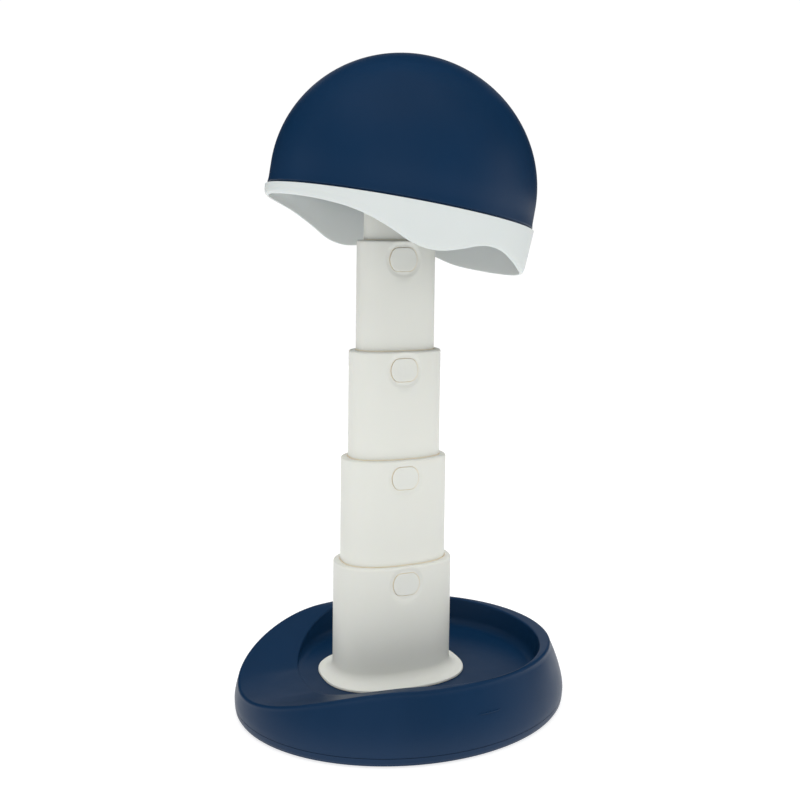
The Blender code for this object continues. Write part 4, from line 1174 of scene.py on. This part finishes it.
def tilt_hardware():
    """Pin with a domed head, its nut, and the two friction washers, made about the pivot."""
    washer = KNUCKLE_HALF_WIDTH + GAP
    cheek_end = KNUCKLE_HALF_WIDTH + WASHER_THICKNESS + 2 * GAP + CHEEK_THICKNESS
    start = -cheek_end - GAP - PIN_HEAD_HEIGHT
    nut = cheek_end + GAP
    tip = nut + NUT_HEIGHT + PIN_TIP
    profile = [(PIN_HEAD_RADIUS * 0.4, start)]
    for t in steps(5):
        radius = PIN_HEAD_RADIUS * (0.75 + 0.25 * math.sin(QUARTER * t))
        profile.append((radius, start + PIN_HEAD_ROUND * bend_away(t)))
    profile += [(PIN_HEAD_RADIUS, start + PIN_HEAD_HEIGHT), (PIN_RADIUS, start + PIN_HEAD_HEIGHT)]
    profile += [(PIN_RADIUS, tip - PIN_BEVEL), (PIN_RADIUS - PIN_BEVEL, tip)]
    pieces = [("tilt_pin", turned("tilt_pin_fine", profile, (0, 0, 0), ALONG_Y), STEEL)]
    profile = [(NUT_RADIUS - PIN_BEVEL, nut), (NUT_RADIUS, nut + PIN_BEVEL)]
    profile += [(NUT_RADIUS, nut + NUT_HEIGHT - PIN_BEVEL), (NUT_RADIUS - PIN_BEVEL, nut + NUT_HEIGHT)]
    pieces.append(("tilt_nut", turned("tilt_nut_fine", profile, (0, 0, 0), ALONG_Y, 6, 20), STEEL))
    for node, near in (("washer_front", -washer - WASHER_THICKNESS), ("washer_rear", washer)):
        far = near + WASHER_THICKNESS
        edge = SMALL_EDGE / 2
        profile = [(WASHER_RADIUS - edge, near), (WASHER_RADIUS, near + edge)]
        profile += [(WASHER_RADIUS, far - edge), (WASHER_RADIUS - edge, far)]
        pieces.append((node, turned(node + "_fine", profile, (0, 0, 0), ALONG_Y), ACETAL))
    for node, obj, material in pieces:
        if node != "tilt_pin":
            cut(obj, pin_bore())
        obj.data.transform(HEAD_FRAME)
        place(obj, "head", node, material)


def make_tilt_joint():
    place(knuckle(), "neck_section", "neck_knuckle", GREY)
    plate = mount()
    plate.data.transform(HEAD_FRAME)
    place(plate, "head", "head_mount", GREY)
    tilt_hardware()


def finish_hidden_pieces():
    """The collars and latches stay as imported and get their material."""
    for stage in STAGES[1:]:
        for word in ("_collar", "_latch"):
            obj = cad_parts[stage + word]
            obj.data.materials.clear()
            obj.data.materials.append(ACETAL)


# ---------------------------------------------------------------- studio
FLOOR_GLOW = 0.70


def camera():
    """Looks slightly down on the stand from the buttons' side, turned towards the brow."""
    turn, pitch, roll = 0.3970, 0.1619, 0.0136
    distance, height, aside = 0.6277, 0.2945, -0.00342
    right = Vector((math.cos(turn), -math.sin(turn), 0))
    ahead = Vector((math.sin(turn), math.cos(turn), 0))
    view = ahead * math.cos(pitch) - Vector((0, 0, 1)) * math.sin(pitch)
    up = right.cross(view)
    data = bpy.data.cameras.new("camera")
    data.sensor_width = 36
    data.lens = 47.24
    cam = bpy.data.objects.new("camera", data)
    bpy.context.collection.objects.link(cam)
    spot = Vector((COLUMN_X, 0, height)) - aside * right - distance * ahead
    facing = Matrix((right, up, -view)).transposed().to_4x4()
    cam.matrix_world = Matrix.Translation(spot) @ facing @ Matrix.Rotation(roll, 4, "Z")
    bpy.context.scene.camera = cam


def area_light(name, spot, target, size, power):
    data = bpy.data.lights.new(name, "AREA")
    data.shape = "SQUARE"
    data.size = size
    data.energy = power
    lamp = bpy.data.objects.new(name, data)
    bpy.context.collection.objects.link(lamp)
    lamp.location = spot
    lamp.rotation_euler = (Vector(target) - Vector(spot)).to_track_quat("-Z", "Y").to_euler()
    return lamp


def floor():
    """Large pale floor."""
    bm = bmesh.new()
    reach = 6.0
    corners = [bm.verts.new((x, y, 0)) for x, y in four(reach, reach)]
    bm.faces.new(corners)
    obj = to_object("studio_floor", bm)
    mat, nodes, links, shader = new_material("floor_paint")
    coords = nodes.new("ShaderNodeTexCoord").outputs["Object"]
    tone = noise(nodes, links, coords, scale=6, detail=3)
    colour = two_tone(nodes, links, tone, (0.45, 0.45, 0.45), (0.47, 0.47, 0.47))
    links.new(colour, shader.inputs["Base Color"])
    shader.inputs["Roughness"].default_value = 0.8
    shader.inputs["Specular IOR Level"].default_value = 0.1
    shader.inputs["Emission Color"].default_value = (1, 1, 1, 1)
    shader.inputs["Emission Strength"].default_value = FLOOR_GLOW
    obj.data.materials.append(mat)


def backdrop():
    """Round white backdrop that is seen but adds no light."""
    radius, height, around = 1.9, 4.0, 96
    bm = bmesh.new()
    rows = []
    for z in (-0.01, height):
        rows.append([Vector((radius * math.cos(a), radius * math.sin(a), z)) for a in turns(around)])
    add_rows(bm, rows)
    obj = to_object("studio_backdrop", bm)
    mat, nodes, links, shader = new_material("backdrop_paper")
    coords = nodes.new("ShaderNodeTexCoord").outputs["Object"]
    tone = noise(nodes, links, coords, scale=2, detail=2)
    links.new(two_tone(nodes, links, tone, (0.99, 0.99, 0.99), (1, 1, 1)), shader.inputs["Emission Color"])
    shader.inputs["Base Color"].default_value = (0, 0, 0, 1)
    shader.inputs["Emission Strength"].default_value = 1.02
    obj.data.materials.append(mat)
    obj.visible_diffuse = False
    obj.visible_glossy = False
    obj.visible_shadow = False


def studio():
    scene = bpy.context.scene
    scene.view_settings.view_transform = "Standard"
    world = bpy.data.worlds.new("studio")
    scene.world = world
    world.use_nodes = True
    background = world.node_tree.nodes["Background"]
    background.inputs["Color"].default_value = (1, 1, 1, 1)
    background.inputs["Strength"].default_value = 0.48
    world.cycles_visibility.glossy = False
    target = (0, 0, 0.2)
    top = area_light("top", (0.0, 0.0, 2.2), target, size=3.0, power=46)
    top.visible_glossy = False
    fill = area_light("fill", (-0.6, -1.2, 0.35), target, size=1.2, power=4.2)
    fill.visible_glossy = False
    area_light("side_left", (-1.3, 0.35, 0.45), target, size=0.8, power=0.6)
    area_light("side_right", (1.25, -0.55, 0.45), target, size=0.8, power=1.3)
    area_light("back", (0.60, 1.40, 0.50), target, size=1.2, power=2.2)


make_tray()
make_column()
make_head()
make_screws()
make_tilt_joint()
finish_hidden_pieces()
camera()
floor()
backdrop()
studio()
